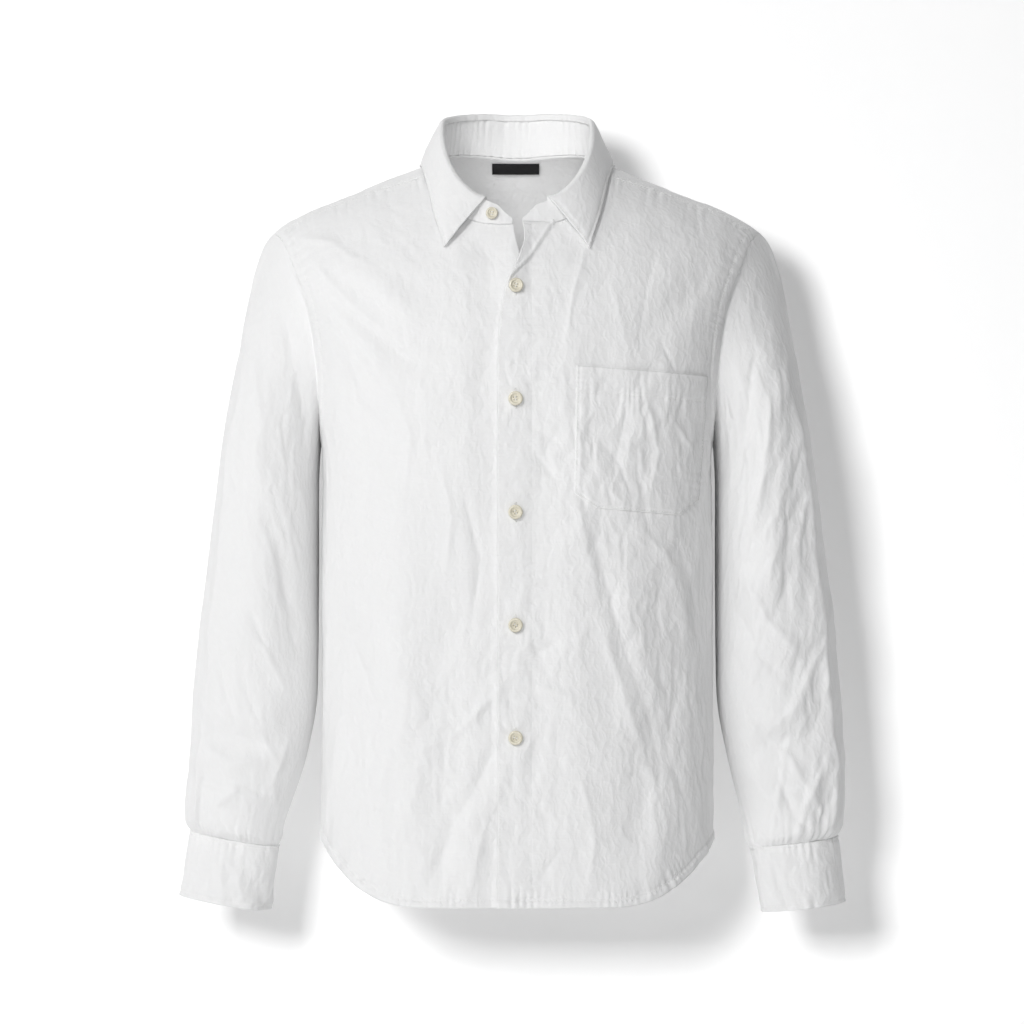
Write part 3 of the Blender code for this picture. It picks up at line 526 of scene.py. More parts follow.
    def side_edge(self, v: Array, side: float, seam_turn: float) -> Array:
        """A panel's side edge: the side seam up to the armpit, then the armhole.

        Args:
            v: Shares from the hem to the seam above.
            side: -1 for the front and 1 for the back.
            seam_turn: Where on the armhole the panel ends.

        Returns:
            The edge as shares round and heights.
        """
        hem = self.hem_height(np.array(1.0), side)
        z = mix(hem, self.armpit_z, np.clip(v / self.armpit_share, 0, 1))
        part = np.clip((v - self.armpit_share) / (1 - self.armpit_share), 0, 1)
        hole = self.flat_place(self.armhole(mix(-side * math.pi, seam_turn, part)))
        hole[0] = np.minimum(hole[0], self.side_share)
        return np.where(v < self.armpit_share, np.array([self.side_share + 0 * z, z]), hole)


def coons(
    foot: Callable, head: Callable, start: Callable, end: Callable,
    u: Array, v: Array, hold: float = 1.0,
) -> Array:
    """A patch between four edges.

    Args:
        foot: The edge at v 0, by u.
        head: The edge at v 1, by u.
        start: The edge at u 0, by v.
        end: The edge at u 1, by v.
        u: Shares across, in one row.
        v: Shares along, in one column.
        hold: How fast the foot's and the head's own shapes fade.

    Returns:
        The patch's places, for every u and v.
    """
    low = foot(u) - mix(foot(0 * u), foot(1 + 0 * u), u)
    high = head(u) - mix(head(0 * u), head(1 + 0 * u), u)
    return mix(start(v), end(v), u) + (1 - v) ** hold * low + v**hold * high


class ClothGrid:
    """A piece of cloth as rows and columns of points, with its distances along the cloth."""

    def __init__(self, points: Array, outward: int = 1, closed: bool = False) -> None:
        """Keeps the points and measures them.

        Args:
            points: The smooth form's points, three by rows by columns, in millimetres.
            outward: 1 if across turned to along faces out, and -1 if it faces in.
            closed: Whether the last column meets the first one.
        """
        self.rest = points
        self.points = points.copy()
        self.outward = outward
        self.closed = closed
        across = np.linalg.norm(np.diff(points, axis=2), axis=0)
        along = np.linalg.norm(np.diff(points, axis=1), axis=0)
        self.across = np.pad(np.cumsum(across, axis=1), ((0, 0), (1, 0)))
        self.along = np.pad(np.cumsum(along, axis=0), ((1, 0), (0, 0)))
        self.rest_normals = self.normals(points)

    def normals(self, points: Array) -> Array:
        """Outward unit normals of the points."""
        if self.closed:
            wide = np.concatenate([points[..., -1:], points, points[..., :1]], axis=2)
            across = (wide[..., 2:] - wide[..., :-2]) / 2
        else:
            across = np.gradient(points, axis=2)
        return self.outward * unit(np.cross(across, np.gradient(points, axis=1), axis=0))

    def away(self, edge: Edge) -> Array:
        """Each point's distance from an edge, along the cloth."""
        return {
            Edge.START: self.across,
            Edge.END: self.across[:, -1:] - self.across,
            Edge.FOOT: self.along,
            Edge.HEAD: self.along[-1:, :] - self.along,
        }[edge]

    def run(self, edge: Edge) -> Array:
        """Running length along an edge, at each point's row or column."""
        whole = np.ones(self.across.shape)
        return whole * {
            Edge.START: self.along[:, :1],
            Edge.END: self.along[:, -1:],
            Edge.FOOT: self.across[:1, :],
            Edge.HEAD: self.across[-1:, :],
        }[edge]

    def gathers(self, pucker: Pucker, edge: Edge) -> Array:
        """The small gathers along an edge."""
        return pucker.lift(self.run(edge), self.away(edge))

    def nearest(self, away: Array) -> tuple[Array, Array]:
        """The point where a distance is least, and the normal there."""
        row, column = np.unravel_index(away.argmin(), away.shape)
        return self.points[:, row, column], self.normals(self.points)[:, row, column]

    def push(self, height: Array) -> None:
        """Moves the points out along the smooth form's normals."""
        self.points = self.points + self.rest_normals * height

    def seam_row(self, edge: Edge, distance: float) -> tuple[Array, Array]:
        """A line on the cloth at one distance from an edge.

        Args:
            edge: The edge that it follows.
            distance: How far in from it, in millimetres.

        Returns:
            The line's points and the outward normals along it.
        """
        grids = [self.away(edge), self.points, self.normals(self.points)]
        if edge in (Edge.FOOT, Edge.HEAD):
            grids = [np.swapaxes(grid, -1, -2) for grid in grids]
        if edge in (Edge.END, Edge.HEAD):
            grids = [grid[..., ::-1] for grid in grids]
        away, points, facing = grids
        line, turned = (
            np.array([[np.interp(distance, *pair) for pair in zip(away, c)] for c in values])
            for values in (points, facing)
        )
        return line, turned

    def tuck(self, edge: Edge, reach: Array, depth: Array) -> None:
        """Carries an edge on under its neighbour, as a seam allowance.

        Args:
            edge: The edge.
            reach: How far past the edge it goes, in millimetres, in all or at each place.
            depth: How far it sinks under the neighbour.
        """
        sideways, last = edge in (Edge.START, Edge.END), edge in (Edge.END, Edge.HEAD)
        axis = 2 if sideways else 1
        near, inner = (-1, -2) if last else (0, 1)
        rim = np.take(self.points, near, axis=axis)
        run = unit(rim - np.take(self.points, inner, axis=axis))
        facing = np.take(self.normals(self.points), near, axis=axis)
        row = np.expand_dims(rim + run * reach - facing * depth, axis)
        rows = [self.points, row] if last else [row, self.points]
        self.points = np.concatenate(rows, axis=axis)
        pad = [(0, 0), (0, 0)]
        pad[axis - 1] = (0, 1) if last else (1, 0)
        self.across, self.along = (np.pad(g, pad, mode="edge") for g in (self.across, self.along))
        flat = self.across.T if sideways else self.along
        flat[near] += reach if last else -reach

    def mesh(self, name: str, wall: float, stride: int = 3) -> Mesh:
        """Makes the cloth as a closed shell with a UV map that is the flat cloth, in metres.

        Args:
            name: The mesh's name.
            wall: The cloth's thickness in millimetres.
            stride: The inner face takes one row and column in so many.

        Returns:
            The mesh.
        """
        rows, columns = self.points.shape[1:]
        index = np.arange(rows * columns).reshape(rows, columns)
        flat_u, flat_v = self.across, self.along
        if self.closed:
            last = np.linalg.norm(self.points[..., 0] - self.points[..., -1], axis=0)
            index = np.concatenate([index, index[:, :1]], axis=1)
            flat_u = np.concatenate([flat_u, flat_u[:, -1:] + last[:, None]], axis=1)
            flat_v = np.concatenate([flat_v, flat_v[:, :1]], axis=1)
        keep_r, keep_c = (np.r_[0 : size - 1 : stride, size - 1] for size in index.shape)
        inner = index[np.ix_(keep_r, keep_c)] + rows * columns
        shell = self.points - self.normals(self.points) * wall
        places = np.concatenate([self.points.reshape(3, -1), shell.reshape(3, -1)], axis=1).T
        flat = np.zeros((len(places), 2))
        flat[index.ravel()] = flat[index.ravel() + rows * columns] = np.stack(
            [flat_u.ravel(), flat_v.ravel()], axis=-1
        )
        faces: list[list[int]] = []

        def sheet(grid: Array, way: int) -> None:
            quads = np.stack([grid[:-1, :-1], grid[:-1, 1:], grid[1:, 1:], grid[1:, :-1]], axis=-1)
            faces.extend(quads.reshape(-1, 4)[:, ::way].tolist())

        def rim(outer: Array, low: Array, keep: Array, way: int) -> None:
            for number, (first, last) in enumerate(zip(keep[:-1], keep[1:])):
                ring = [*outer[first : last + 1].tolist(), int(low[number + 1]), int(low[number])]
                faces.append(ring[::way])

        sheet(index, self.outward)
        sheet(inner, -self.outward)
        rim(index[0], inner[0], keep_c, -self.outward)
        rim(index[-1], inner[-1], keep_c, self.outward)
        if not self.closed:
            rim(index[:, 0], inner[:, 0], keep_r, self.outward)
            rim(index[:, -1], inner[:, -1], keep_r, -self.outward)
        used, order = np.unique(np.concatenate([np.array(f) for f in faces]), return_inverse=True)
        corners = np.array([len(f) for f in faces])
        mesh = bpy.data.meshes.new(name)
        mesh.vertices.add(len(used))
        mesh.vertices.foreach_set("co", (places[used] * MM).ravel())
        mesh.loops.add(len(order))
        mesh.loops.foreach_set("vertex_index", order)
        mesh.polygons.add(len(corners))
        mesh.polygons.foreach_set("loop_start", np.cumsum(corners) - corners)
        mesh.update(calc_edges=True)
        layer = mesh.uv_layers.new(name="cloth")
        layer.data.foreach_set("uv", (flat[used][order] * MM).ravel())
        quads = sum((grid.shape[0] - 1) * (grid.shape[1] - 1) for grid in (index, inner))
        mesh.polygons.foreach_set("use_smooth", np.arange(len(corners)) < quads)
        mesh.validate()
        return mesh


def to_linear(code: str) -> tuple[float, float, float, float]:
    """An sRGB hex colour as linear red, green, blue and full alpha."""
    parts = [int(code[i : i + 2], 16) / 255 for i in (1, 3, 5)]
    line = [p / 12.92 if p <= 0.04045 else ((p + 0.055) / 1.055) ** 2.4 for p in parts]
    return (*line, 1.0)


def new_finish(name: str) -> tuple[Material, NodeTree, Node]:
    """A new material with its node tree and its main shader."""
    material = bpy.data.materials.new(name)
    material.use_nodes = True
    return material, material.node_tree, material.node_tree.nodes["Principled BSDF"]


def wire(tree: NodeTree, node: Node, settings: dict, links: dict) -> None:
    """Sets a node's values and links.

    Args:
        tree: The tree that it is in.
        node: The node.
        settings: Values by property name, or by socket name or number.
        links: Outputs by the name or number of the socket that they feed.
    """
    for key, value in settings.items():
        if isinstance(key, str) and hasattr(node, key):
            setattr(node, key, value)
        else:
            node.inputs[key].default_value = value
    for key, output in links.items():
        tree.links.new(output, node.inputs[key])


def add_node(
    tree: NodeTree, kind: str, settings: dict | None = None, links: dict | None = None,
    out: str | int = 0,
) -> NodeSocket:
    """Adds a shader node.

    Args:
        tree: The material's node tree.
        kind: The node's type name, after ShaderNode.
        settings: Values by property name, or by socket name or number.
        links: Outputs by the name or number of the socket that they feed.
        out: The name or number of the output that is wanted.

    Returns:
        That output.
    """
    node = tree.nodes.new("ShaderNode" + kind)
    wire(tree, node, settings or {}, links or {})
    return node.outputs[out]


def blend(tree: NodeTree, first: str, second: str, share: NodeSocket) -> NodeSocket:
    """Mixes two sRGB hex colours by a share."""
    colours = {6: to_linear(first), 7: to_linear(second)}
    return add_node(tree, "Mix", {"data_type": "RGBA", **colours}, {0: share}, 2)


def relief(tree: NodeTree, height: NodeSocket, depth: float, strength: float) -> NodeSocket:
    """A normal bumped by a height whose full range is so many metres deep."""
    return add_node(tree, "Bump", {"Strength": strength, "Distance": depth}, {"Height": height})


def twill(tree: NodeTree, place: NodeSocket, pitch_mm: float) -> NodeSocket:
    """Fine slanted ribs at a pitch in millimetres."""
    wave = {"wave_type": "BANDS", "bands_direction": "DIAGONAL", "Scale": 100 / pitch_mm}
    return add_node(tree, "TexWave", wave, {"Vector": place}, "Fac")


@dataclass(frozen=True)
class WashedPoplin:
    """Cotton poplin, plain woven, washed and line dried.

    The eye gets a matt white with a faint bloom where the fibres stand up at a grazing angle,
    fine ribs of weft, slubs where a yarn is thick, and small crush marks between the creases.
    """

    name: str = "washed_cotton_poplin"
    white: str = "#F4F4F3"
    thin: str = "#EFEFF0"
    roughness: float = 0.82
    sheen: float = 0.16
    # Real threads are 0.2 mm apart. That is too fine to show, so the ribs are drawn at 0.9 mm.
    rib_mm: float = 0.9
    slub_mm: float = 14.0
    crush_mm: float = 4.6
    crush_slope: float = 0.085

    def crush(self, tree: NodeTree) -> NodeSocket:
        """Crush marks: shallow pits whose rims meet in crisp ridges.

        Args:
            tree: The material's node tree.

        Returns:
            The marks' height, as a share of their size.
        """
        solid = add_node(tree, "TexCoord", out="Object")
        noise = {"Scale": 90.0, "Detail": 1.0}
        bend = add_node(tree, "TexNoise", noise, {"Vector": solid}, "Color")
        bent = add_node(
            tree, "VectorMath", {"operation": "MULTIPLY_ADD", 1: (9 * MM,) * 3}, {0: bend, 2: solid}
        )
        long = add_node(tree, "Mapping", {"Scale": (1.0, 1.0, 0.5)}, {"Vector": bent})
        return add_node(tree, "TexVoronoi", {"Scale": 1000 / self.crush_mm}, {"Vector": long})

    def build(self) -> Material:
        """The material, with its weave on the flat cloth and its crush marks on the form."""
        material, tree, shader = new_finish(self.name)
        flat = add_node(tree, "UVMap", {"uv_map": "cloth"})
        weft, warp = (
            add_node(
                tree, "TexWave",
                {"wave_type": "BANDS", "bands_direction": way, "Scale": 1000 / self.rib_mm / waves,
                 "Distortion": bend, "Detail": 1.0, "Detail Scale": 2.0},
                {"Vector": flat}, "Fac",
            )
            for way, waves, bend in (("Y", 10, 1.2), ("X", 12, 1.0))
        )
        long = add_node(tree, "Mapping", {"Scale": (1.0, 9.0, 1.0)}, {"Vector": flat})
        noise = {"Scale": 1000 / self.slub_mm, "Detail": 4.0, "Roughness": 0.6}
        slubs = add_node(tree, "TexNoise", noise, {"Vector": long}, "Fac")
        colour = blend(tree, self.white, self.thin, slubs)
        dullness = {"To Min": self.roughness - 0.05, "To Max": 0.92}
        fibre = add_node(tree, "MapRange", dullness, {"Value": slubs})
        bump = None
        for height, depth_mm, strength in (
            (self.crush(tree), self.crush_slope * self.crush_mm, 1.0), (slubs, 0.08, 0.5),
            (weft, 0.03, 0.35), (warp, 0.02, 0.3),
        ):
            below, bump = bump, relief(tree, height, depth_mm * MM, strength)
            if below:
                tree.links.new(below, bump.node.inputs["Normal"])
        wire(
            tree, shader,
            {"Sheen Weight": self.sheen, "Sheen Roughness": 0.45, "Specular IOR Level": 0.28},
            {"Base Color": colour, "Roughness": fibre, "Normal": bump},
        )
        return material


@dataclass(frozen=True)
class SpunThread:
    """Core-spun polyester thread: white, twisted, a little brighter than the cloth."""

    name: str = "core_spun_thread"
    white: str = "#FAFAF8"
    roughness: float = 0.55
    twist_mm: float = 0.8

    def build(self) -> Material:
        """The material, with its twist as a fine slanted ripple."""
        material, tree, shader = new_finish(self.name)
        solid = add_node(tree, "TexCoord", out="Object")
        bump = relief(tree, twill(tree, solid, self.twist_mm), 0.05 * MM, 0.5)
        white = to_linear(self.white)
        plain = {"Base Color": white, "Roughness": self.roughness, "Sheen Weight": 0.1}
        wire(tree, shader, plain, {"Normal": bump})
        return material


@dataclass(frozen=True)
class PolishedResin:
    """Cast polyester resin with a pearl filler, turned and tumble polished.

    The eye gets a warm off-white with clouds of paler pearl and a soft bright highlight.
    """

    name: str = "pearl_polyester_resin"
    pearl: str = "#EBE6D5"
    cloud: str = "#D9D2BC"
    roughness: float = 0.22
    cloud_mm: float = 5.0

    def build(self) -> Material:
        """The material, with the pearl's clouds in its colour and gloss."""
        material, tree, shader = new_finish(self.name)
        solid = add_node(tree, "TexCoord", out="Object")
        noise = {"Scale": 1000 / self.cloud_mm, "Detail": 3.0, "Distortion": 1.5}
        clouds = add_node(tree, "TexNoise", noise, {"Vector": solid}, "Fac")
        colour = blend(tree, self.cloud, self.pearl, clouds)
        dullness = {"To Min": self.roughness, "To Max": 0.36}
        gloss = add_node(tree, "MapRange", dullness, {"Value": clouds})
        wire(
            tree, shader, {"IOR": 1.56, "Coat Weight": 0.35, "Coat Roughness": 0.12},
            {"Base Color": colour, "Roughness": gloss},
        )
        return material


@dataclass(frozen=True)
class WovenTape:
    """Damask-woven polyester label tape, black and bare: a close twill with a dull satin."""

    name: str = "woven_label_tape"
    black: str = "#0B0B0D"
    rise: str = "#101013"
    roughness: float = 0.62
    # Real picks are 0.15 mm apart, drawn at 0.8 mm so that the twill shows close up.
    pick_mm: float = 0.8

    def build(self) -> Material:
        """The material, with a slanted twill in its colour and relief."""
        material, tree, shader = new_finish(self.name)
        flat = add_node(tree, "UVMap", {"uv_map": "cloth"})
        ribs = twill(tree, flat, self.pick_mm)
        colour = blend(tree, self.black, self.rise, ribs)
        bump = relief(tree, ribs, 0.04 * MM, 0.3)
        wire(
            tree, shader, {"Roughness": self.roughness, "Sheen Weight": 0.2},
            {"Base Color": colour, "Normal": bump},
        )
        return material


@dataclass(frozen=True)
class PaperSweep:
    """Seamless studio paper, near white and matt, that fades out towards its edges."""

    name: str = "studio_paper"
    white: str = "#FBFBFB"
    glow: float = 0.21
    dull: float = 0.10
    clear_from: float = 0.85
    clear_to: float = 1.25
    one_sided: bool = True

    def build(self) -> Material:
        """The material: seen from its front alone where it is one-sided."""
        material, tree, shader = new_finish(self.name)
        tree.nodes.remove(shader)
        out = tree.nodes["Material Output"]
        grain = add_node(tree, "TexNoise", {"Scale": 90.0, "Detail": 2.0})
        bump, white = relief(tree, grain, 0.2 * MM, 0.05), to_linear(self.white)
        paper = add_node(tree, "BsdfDiffuse", {"Color": white}, {"Normal": bump})
        light = add_node(tree, "Emission", {"Color": white, "Strength": self.glow / self.dull})
        sheet = add_node(tree, "MixShader", {0: self.dull}, {1: paper, 2: light})
        clear = add_node(tree, "BsdfTransparent")
        place = add_node(tree, "TexCoord", out="Object")
        far = add_node(tree, "VectorMath", {"operation": "LENGTH"}, {0: place}, "Value")
        fade = add_node(
            tree, "MapRange",
            {"interpolation_type": "SMOOTHSTEP", "From Min": self.clear_from,
             "From Max": self.clear_to},
            {"Value": far},
        )
        if self.one_sided:
            behind = add_node(tree, "NewGeometry", out="Backfacing")
            fade = add_node(tree, "Math", {"operation": "MAXIMUM"}, {0: fade, 1: behind})
        mixed = add_node(tree, "MixShader", {}, {0: fade, 1: sheet, 2: clear})
        tree.links.new(mixed, out.inputs["Surface"])
        return material


@dataclass
class Studio:
    """The camera of the photograph, a pale floor, a pale sheet behind and soft light."""

    mm_to_a_pixel: float = 0.96
    pixels: int = 1024
    distance: float = 3.0
    aim_x: float = -0.0048
    aim_z: float = -0.340
    sensor: float = 36.0
    sheet_y: float = 0.142
    floor_z: float = -1.15
    sheet_size: float = 3.4

    def build(self) -> None:
        """Makes the camera, the world, the floor, the sheet and the lights."""
        scene = bpy.context.scene
        scene.view_settings.view_transform = "Standard"
        camera = bpy.data.cameras.new("photo_camera")
        camera.sensor_width = self.sensor
        camera.lens = self.sensor * self.distance / (self.pixels * self.mm_to_a_pixel * MM)
        camera.clip_end = 50
        seen = bpy.data.objects.new("photo_camera", camera)
        seen.location = (self.aim_x, -self.distance, self.aim_z)
        seen.rotation_euler = (math.pi / 2, 0, 0)
        scene.collection.objects.link(seen)
        scene.camera = seen
        world = bpy.data.worlds.new("pale_room")
        scene.world = world
        world.use_nodes = True
        ground = world.node_tree.nodes["Background"]
        ground.inputs["Color"].default_value = to_linear("#F8F9FB")
        ground.inputs["Strength"].default_value = 0.12
        self.lay_paper("floor_paper", (0, 0, self.floor_z), (0, 0, 0), 5.0, False)
        sheet = self.lay_paper(
            "back_paper", (0, self.sheet_y, self.aim_z), (math.pi / 2, 0, 0), self.sheet_size, True
        )
        self.hang_light("key_softbox", (-1.1, -2.4, 1.0), 0.7, 33.0, [sheet], "EXCLUDE")
        self.hang_light("paper_softbox", (-0.78, -2.85, 0.24), 0.55, 75.0, [sheet])
        self.hang_light("side_softbox", (-2.4, -1.7, 0.4), 1.6, 20.0, [sheet], "EXCLUDE")
        self.hang_light("camera_fill", (0.3, -3.0, 0.4), 0.5, 17.0, [sheet], "EXCLUDE")
        self.hang_light("back_softbox", (0.8, 2.4, 0.8), 1.8, 20.0)

    def lay_paper(
        self, name: str, place: tuple, turn: tuple, size: float, one_sided: bool
    ) -> Object:
        """Lays one sheet of studio paper.

        Args:
            name: The sheet's name.
            place: Its middle, in metres.
            turn: Its rotation.
            size: Its side, in metres.
            one_sided: Whether it is clear from behind.

        Returns:
            The sheet.
        """
        shape = bmesh.new()
        bmesh.ops.create_grid(shape, x_segments=8, y_segments=8, size=size / 2)
        mesh = bpy.data.meshes.new(name)
        shape.to_mesh(mesh)
        shape.free()
        paper = bpy.data.objects.new(name, mesh)
        paper.location = place
        paper.rotation_euler = turn
        bpy.context.scene.collection.objects.link(paper)
        far = size / 2
        finish = PaperSweep(
            name + "_finish", one_sided=one_sided, clear_from=0.8 if one_sided else far * 0.6,
            clear_to=1.4 if one_sided else far * 0.98,
        )
        mesh.materials.append(finish.build())
        return paper

    def hang_light(
        self, name: str, place: tuple, size: float, power: float,
        flagged: Sequence[Object] = (), state: str = "INCLUDE",
        aim: tuple | None = None, spread: float = 180.0,
    ) -> None:
        """Hangs one softbox that faces the shirt.

        Args:
            name: The light's name.
            place: Where it hangs, in metres.
            size: The side of its square, in metres.
            power: Its power in watts.
            flagged: What its flags are set for, or nothing for a light without flags.
            state: Whether its light falls on them alone, or on all but them.
            aim: What it faces, in metres, or nothing for the shirt's middle.
            spread: How wide its light opens, in degrees.
        """
        light = bpy.data.lights.new(name, "AREA")
        light.size = size
        light.energy = power
        light.spread = math.radians(spread)
        hung = bpy.data.objects.new(name, light)
        hung.location = place
        away = Vector(aim or (0, 0, self.aim_z)) - Vector(place)
        hung.rotation_euler = away.to_track_quat("-Z", "Y").to_euler()
        bpy.context.scene.collection.objects.link(hung)
        if flagged:
            flags = bpy.data.collections.new(name + "_flags")
            hung.light_linking.receiver_collection = flags
            for thing in flagged:
                flags.objects.link(thing)
            for row in flags.collection_objects:
                row.light_linking.link_state = state


class Workroom:
    """The finishes, made once, and the way a piece is put in place."""

    def __init__(self) -> None:
        """Makes the finishes that the pieces share."""
        self.poplin = WashedPoplin().build()
        self.thread = SpunThread().build()
        self.resin = PolishedResin().build()
        self.tape = WovenTape().build()

    def place(
        self, name: str, mesh: Mesh, material: Material, slot: str,
        nodes: Sequence[str] = (),
    ) -> Object:
        """Puts a piece in the scene, riding on the shirt's one body.

        Args:
            name: The piece's name.
            mesh: Its mesh, in metres.
            material: Its finish.
            slot: A material slot name; not used.
            nodes: The rigid solids that it stands for.

        Returns:
            The piece.
        """
        piece = bpy.data.objects.new(name, mesh)
        bpy.context.scene.collection.objects.link(piece)
        mesh.materials.append(material)
        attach(piece, "root")
        if nodes:
            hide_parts(*nodes)
        LOG.info("%s: %d triangles", name, sum(len(face.vertices) - 2 for face in mesh.polygons))
        return piece

    def cloth(
        self, node: str, grid: ClothGrid, flat: tuple[float, float], area: float,
        wall: float = 0.8, stride: int = 3,
    ) -> None:
        """Places a cloth piece.

        Args:
            node: The solid that it stands for.
            grid: Its points.
            flat: The cut's width and length in millimetres.
            area: The cut's flat area, as a share of width times length; not used.
            wall: Its thickness in millimetres.
            stride: How coarse the inner face is, 1 where it shows.
        """
        name = f"poplin_{node}"
        piece = self.place(name, grid.mesh(name, wall, stride), self.poplin, "poplin", [node])
        width, length = (size * MM for size in flat)


class Sewing:
    """Rows of stitches, gathered into one mesh."""

    def __init__(self, name: str) -> None:
        """Starts an empty set of stitches under the piece's name."""
        self.name = name
        self.corners: list[Array] = []
        self.sheets: list[Array] = []
        self.count = 0

    def bars(
        self, starts: Array, ends: Array, facing: Array, thick: float, rise: float
    ) -> None:
        """Adds short threads, each bent up off the cloth in its middle.

        Args:
            starts: First ends, count by 3, in millimetres.
            ends: Second ends.
            facing: The cloth's normals there.
            thick: The thread's thickness.
            rise: How far the middle stands off the cloth.
        """
        side = unit(np.cross(unit(ends - starts, 1), facing), 1)
        rings = []
        for share, lift, size in ((0.0, -0.35, 0.55), (0.5, 1.0, 1.0), (1.0, -0.35, 0.55)):
            middle = mix(starts, ends, share) + facing * rise * lift
            for turn in range(4):
                angle = turn * math.pi / 2 + math.pi / 4
                out = side * math.cos(angle) + facing * math.sin(angle) * 0.8
                rings.append(middle + out * thick * 0.5 * size)
        pairs = [(ring + turn, ring + (turn + 1) % 4) for ring in (0, 4) for turn in range(4)]
        quads = [(a, b, b + 4, a + 4) for a, b in pairs] + [(3, 2, 1, 0), (8, 9, 10, 11)]
        faces = np.array(quads)[None] + (np.arange(len(starts)) * 12)[:, None, None]
        self.corners.append(np.stack(rings, axis=1).reshape(-1, 3))
        self.sheets.append(faces.reshape(-1, 4) + self.count)
        self.count += len(starts) * 12

    def rows(
        self, grid: ClothGrid, trim: float, *lines: tuple[Edge, float],
        pitch: float = 3.0, thick: float = 0.42,
    ) -> None:
        """Sews rows of lock stitches along the edges of a piece.

        Args:
            grid: The piece.
            trim: How much of each end is left bare, in millimetres.
            lines: For each row its edge and how far in from it the row runs.
            pitch: Millimetres from one stitch to the next.
            thick: The thread's thickness.
        """
        for edge, inset in lines:
            line, facing = grid.seam_row(edge, inset)
            length = running(np.linalg.norm(np.diff(line, axis=1), axis=0))
            begin = np.arange(trim, length[-1] - trim - pitch, pitch)
            end = begin + pitch * 0.74
            starts, ends, normals = (
                np.stack([np.interp(where, length, row) for row in values], axis=1)
                for values, where in ((line, begin), (line, end), (facing, begin))
            )
            self.bars(starts, ends, normals, thick, 0.12)

    def buttonhole(self, centre: Array, along: Array, facing: Array, length: float) -> None:
        """Sews a worked buttonhole: two close rows of short bars and a bar tack at each end.

        Args:
            centre: Its middle, in millimetres.
            along: The way it runs.
            facing: The cloth's normal.
            length: Its length.
        """
        side = np.cross(facing, along)
        shares = np.arange(-length / 2, length / 2, 0.55)
        spine = centre + along * shares[:, None] + facing * 0.15
        normal = np.repeat(facing[None], len(shares), axis=0)
        for sign in (-1, 1):
            self.bars(spine + side * sign * 0.25, spine + side * sign * 1.25, normal, 0.5, 0.2)
        for end in (-1, 1):
            tip = centre + along * end * length / 2 + facing * 0.2
            rows = tip + along * np.array([-0.4, 0.0, 0.4])[:, None]
            self.bars(rows - side * 1.4, rows + side * 1.4, normal[:3], 0.5, 0.25)

    def finish(self, room: Workroom) -> None:
        """Places the stitches as one piece."""
        corners = np.concatenate(self.corners) * MM
        sheets = np.concatenate(self.sheets)
        mesh = bpy.data.meshes.new(self.name)
        mesh.from_pydata(corners.tolist(), [], sheets.tolist())
        mesh.polygons.foreach_set("use_smooth", np.ones(len(sheets), bool))
        room.place(self.name, mesh, room.thread, "poplin")


def beside(points: Array, line: Array) -> tuple[Array, Array]:
    """Measures points against a line.

    Args:
        points: The points, coordinates first.
        line: The line's points, coordinates first.

    Returns:
        Each point's running place along the line, and its distance from it.
    """
    shape = points.shape[1:]
    flat = points.reshape(len(points), -1)
    start, step = line[:, :-1], np.diff(line, axis=1)
    size = np.maximum((step**2).sum(axis=0), TINY)
    length = running(np.sqrt(size))
    along, away = np.empty(flat.shape[1]), np.empty(flat.shape[1])
    batch = 4096
    for first in range(0, flat.shape[1], batch):
        part = flat[:, first : first + batch, None] - start[:, None, :]
        share = np.clip((part * step[:, None, :]).sum(axis=0) / size, 0, 1)
        gap = ((part - share * step[:, None, :]) ** 2).sum(axis=0)
        best = gap.argmin(axis=1)
        row = np.arange(len(best))
        away[first : first + batch] = np.sqrt(gap[row, best])
        along[first : first + batch] = length[best] + share[row, best] * np.sqrt(size[best])
    return along.reshape(shape), away.reshape(shape)


@dataclass(frozen=True)
class SeamFinish:
    """How the cloth lies beside a seam: a doubled band, a sewn groove and small gathers."""

    pucker: Pucker
    band: float = 0.0
    rise: float = 0.0
    groove: float = 0.0

    def lift(self, points: Array, line: Array) -> Array:
        """The seam's relief, in millimetres, at places on the smooth form."""
        along, away = beside(points, line)
        lift = self.pucker.lift(along, np.abs(away - self.band))
        if self.band:
            lift += self.rise * (1 - ramp(self.band - 1.2, self.band + 0.4, away))
            lift -= self.groove * bell(away - self.band, 1.3)
        return lift


def creased(points: Array, creases: Iterable[Sequence], seed: int) -> Array:
    """Adds up creases that are drawn.

    Args:
        points: Places as two coordinates in millimetres.
        creases: For each its half width, its height, then its points one after another.
        seed: Picks how the creases waver.

    Returns:
        The height in millimetres.
    """
    lift = np.zeros(points.shape[1:])
    for number, (half_width, height, *places) in enumerate(creases):
        line = np.array(places, float).T
        along, away = beside(points, line)
        whole = float(np.linalg.norm(np.diff(line, axis=1), axis=0).sum())
        width = half_width * (1 + 0.3 * waver(along, seed + 3 * number, 2.5 * half_width + 8))
        strength = 1 + 0.3 * waver(along, seed + 3 * number + 1, 2.0 * half_width + 10)
        ends = ramp(-0.2 * whole, 0.25 * whole, along)
        ends *= ramp(1.2 * whole, 0.72 * whole, along)
        profile = np.exp(-np.sqrt((1.25 * away / width) ** 2 + 0.16) + 0.4)
        lift += height * strength * ends * profile
    return lift


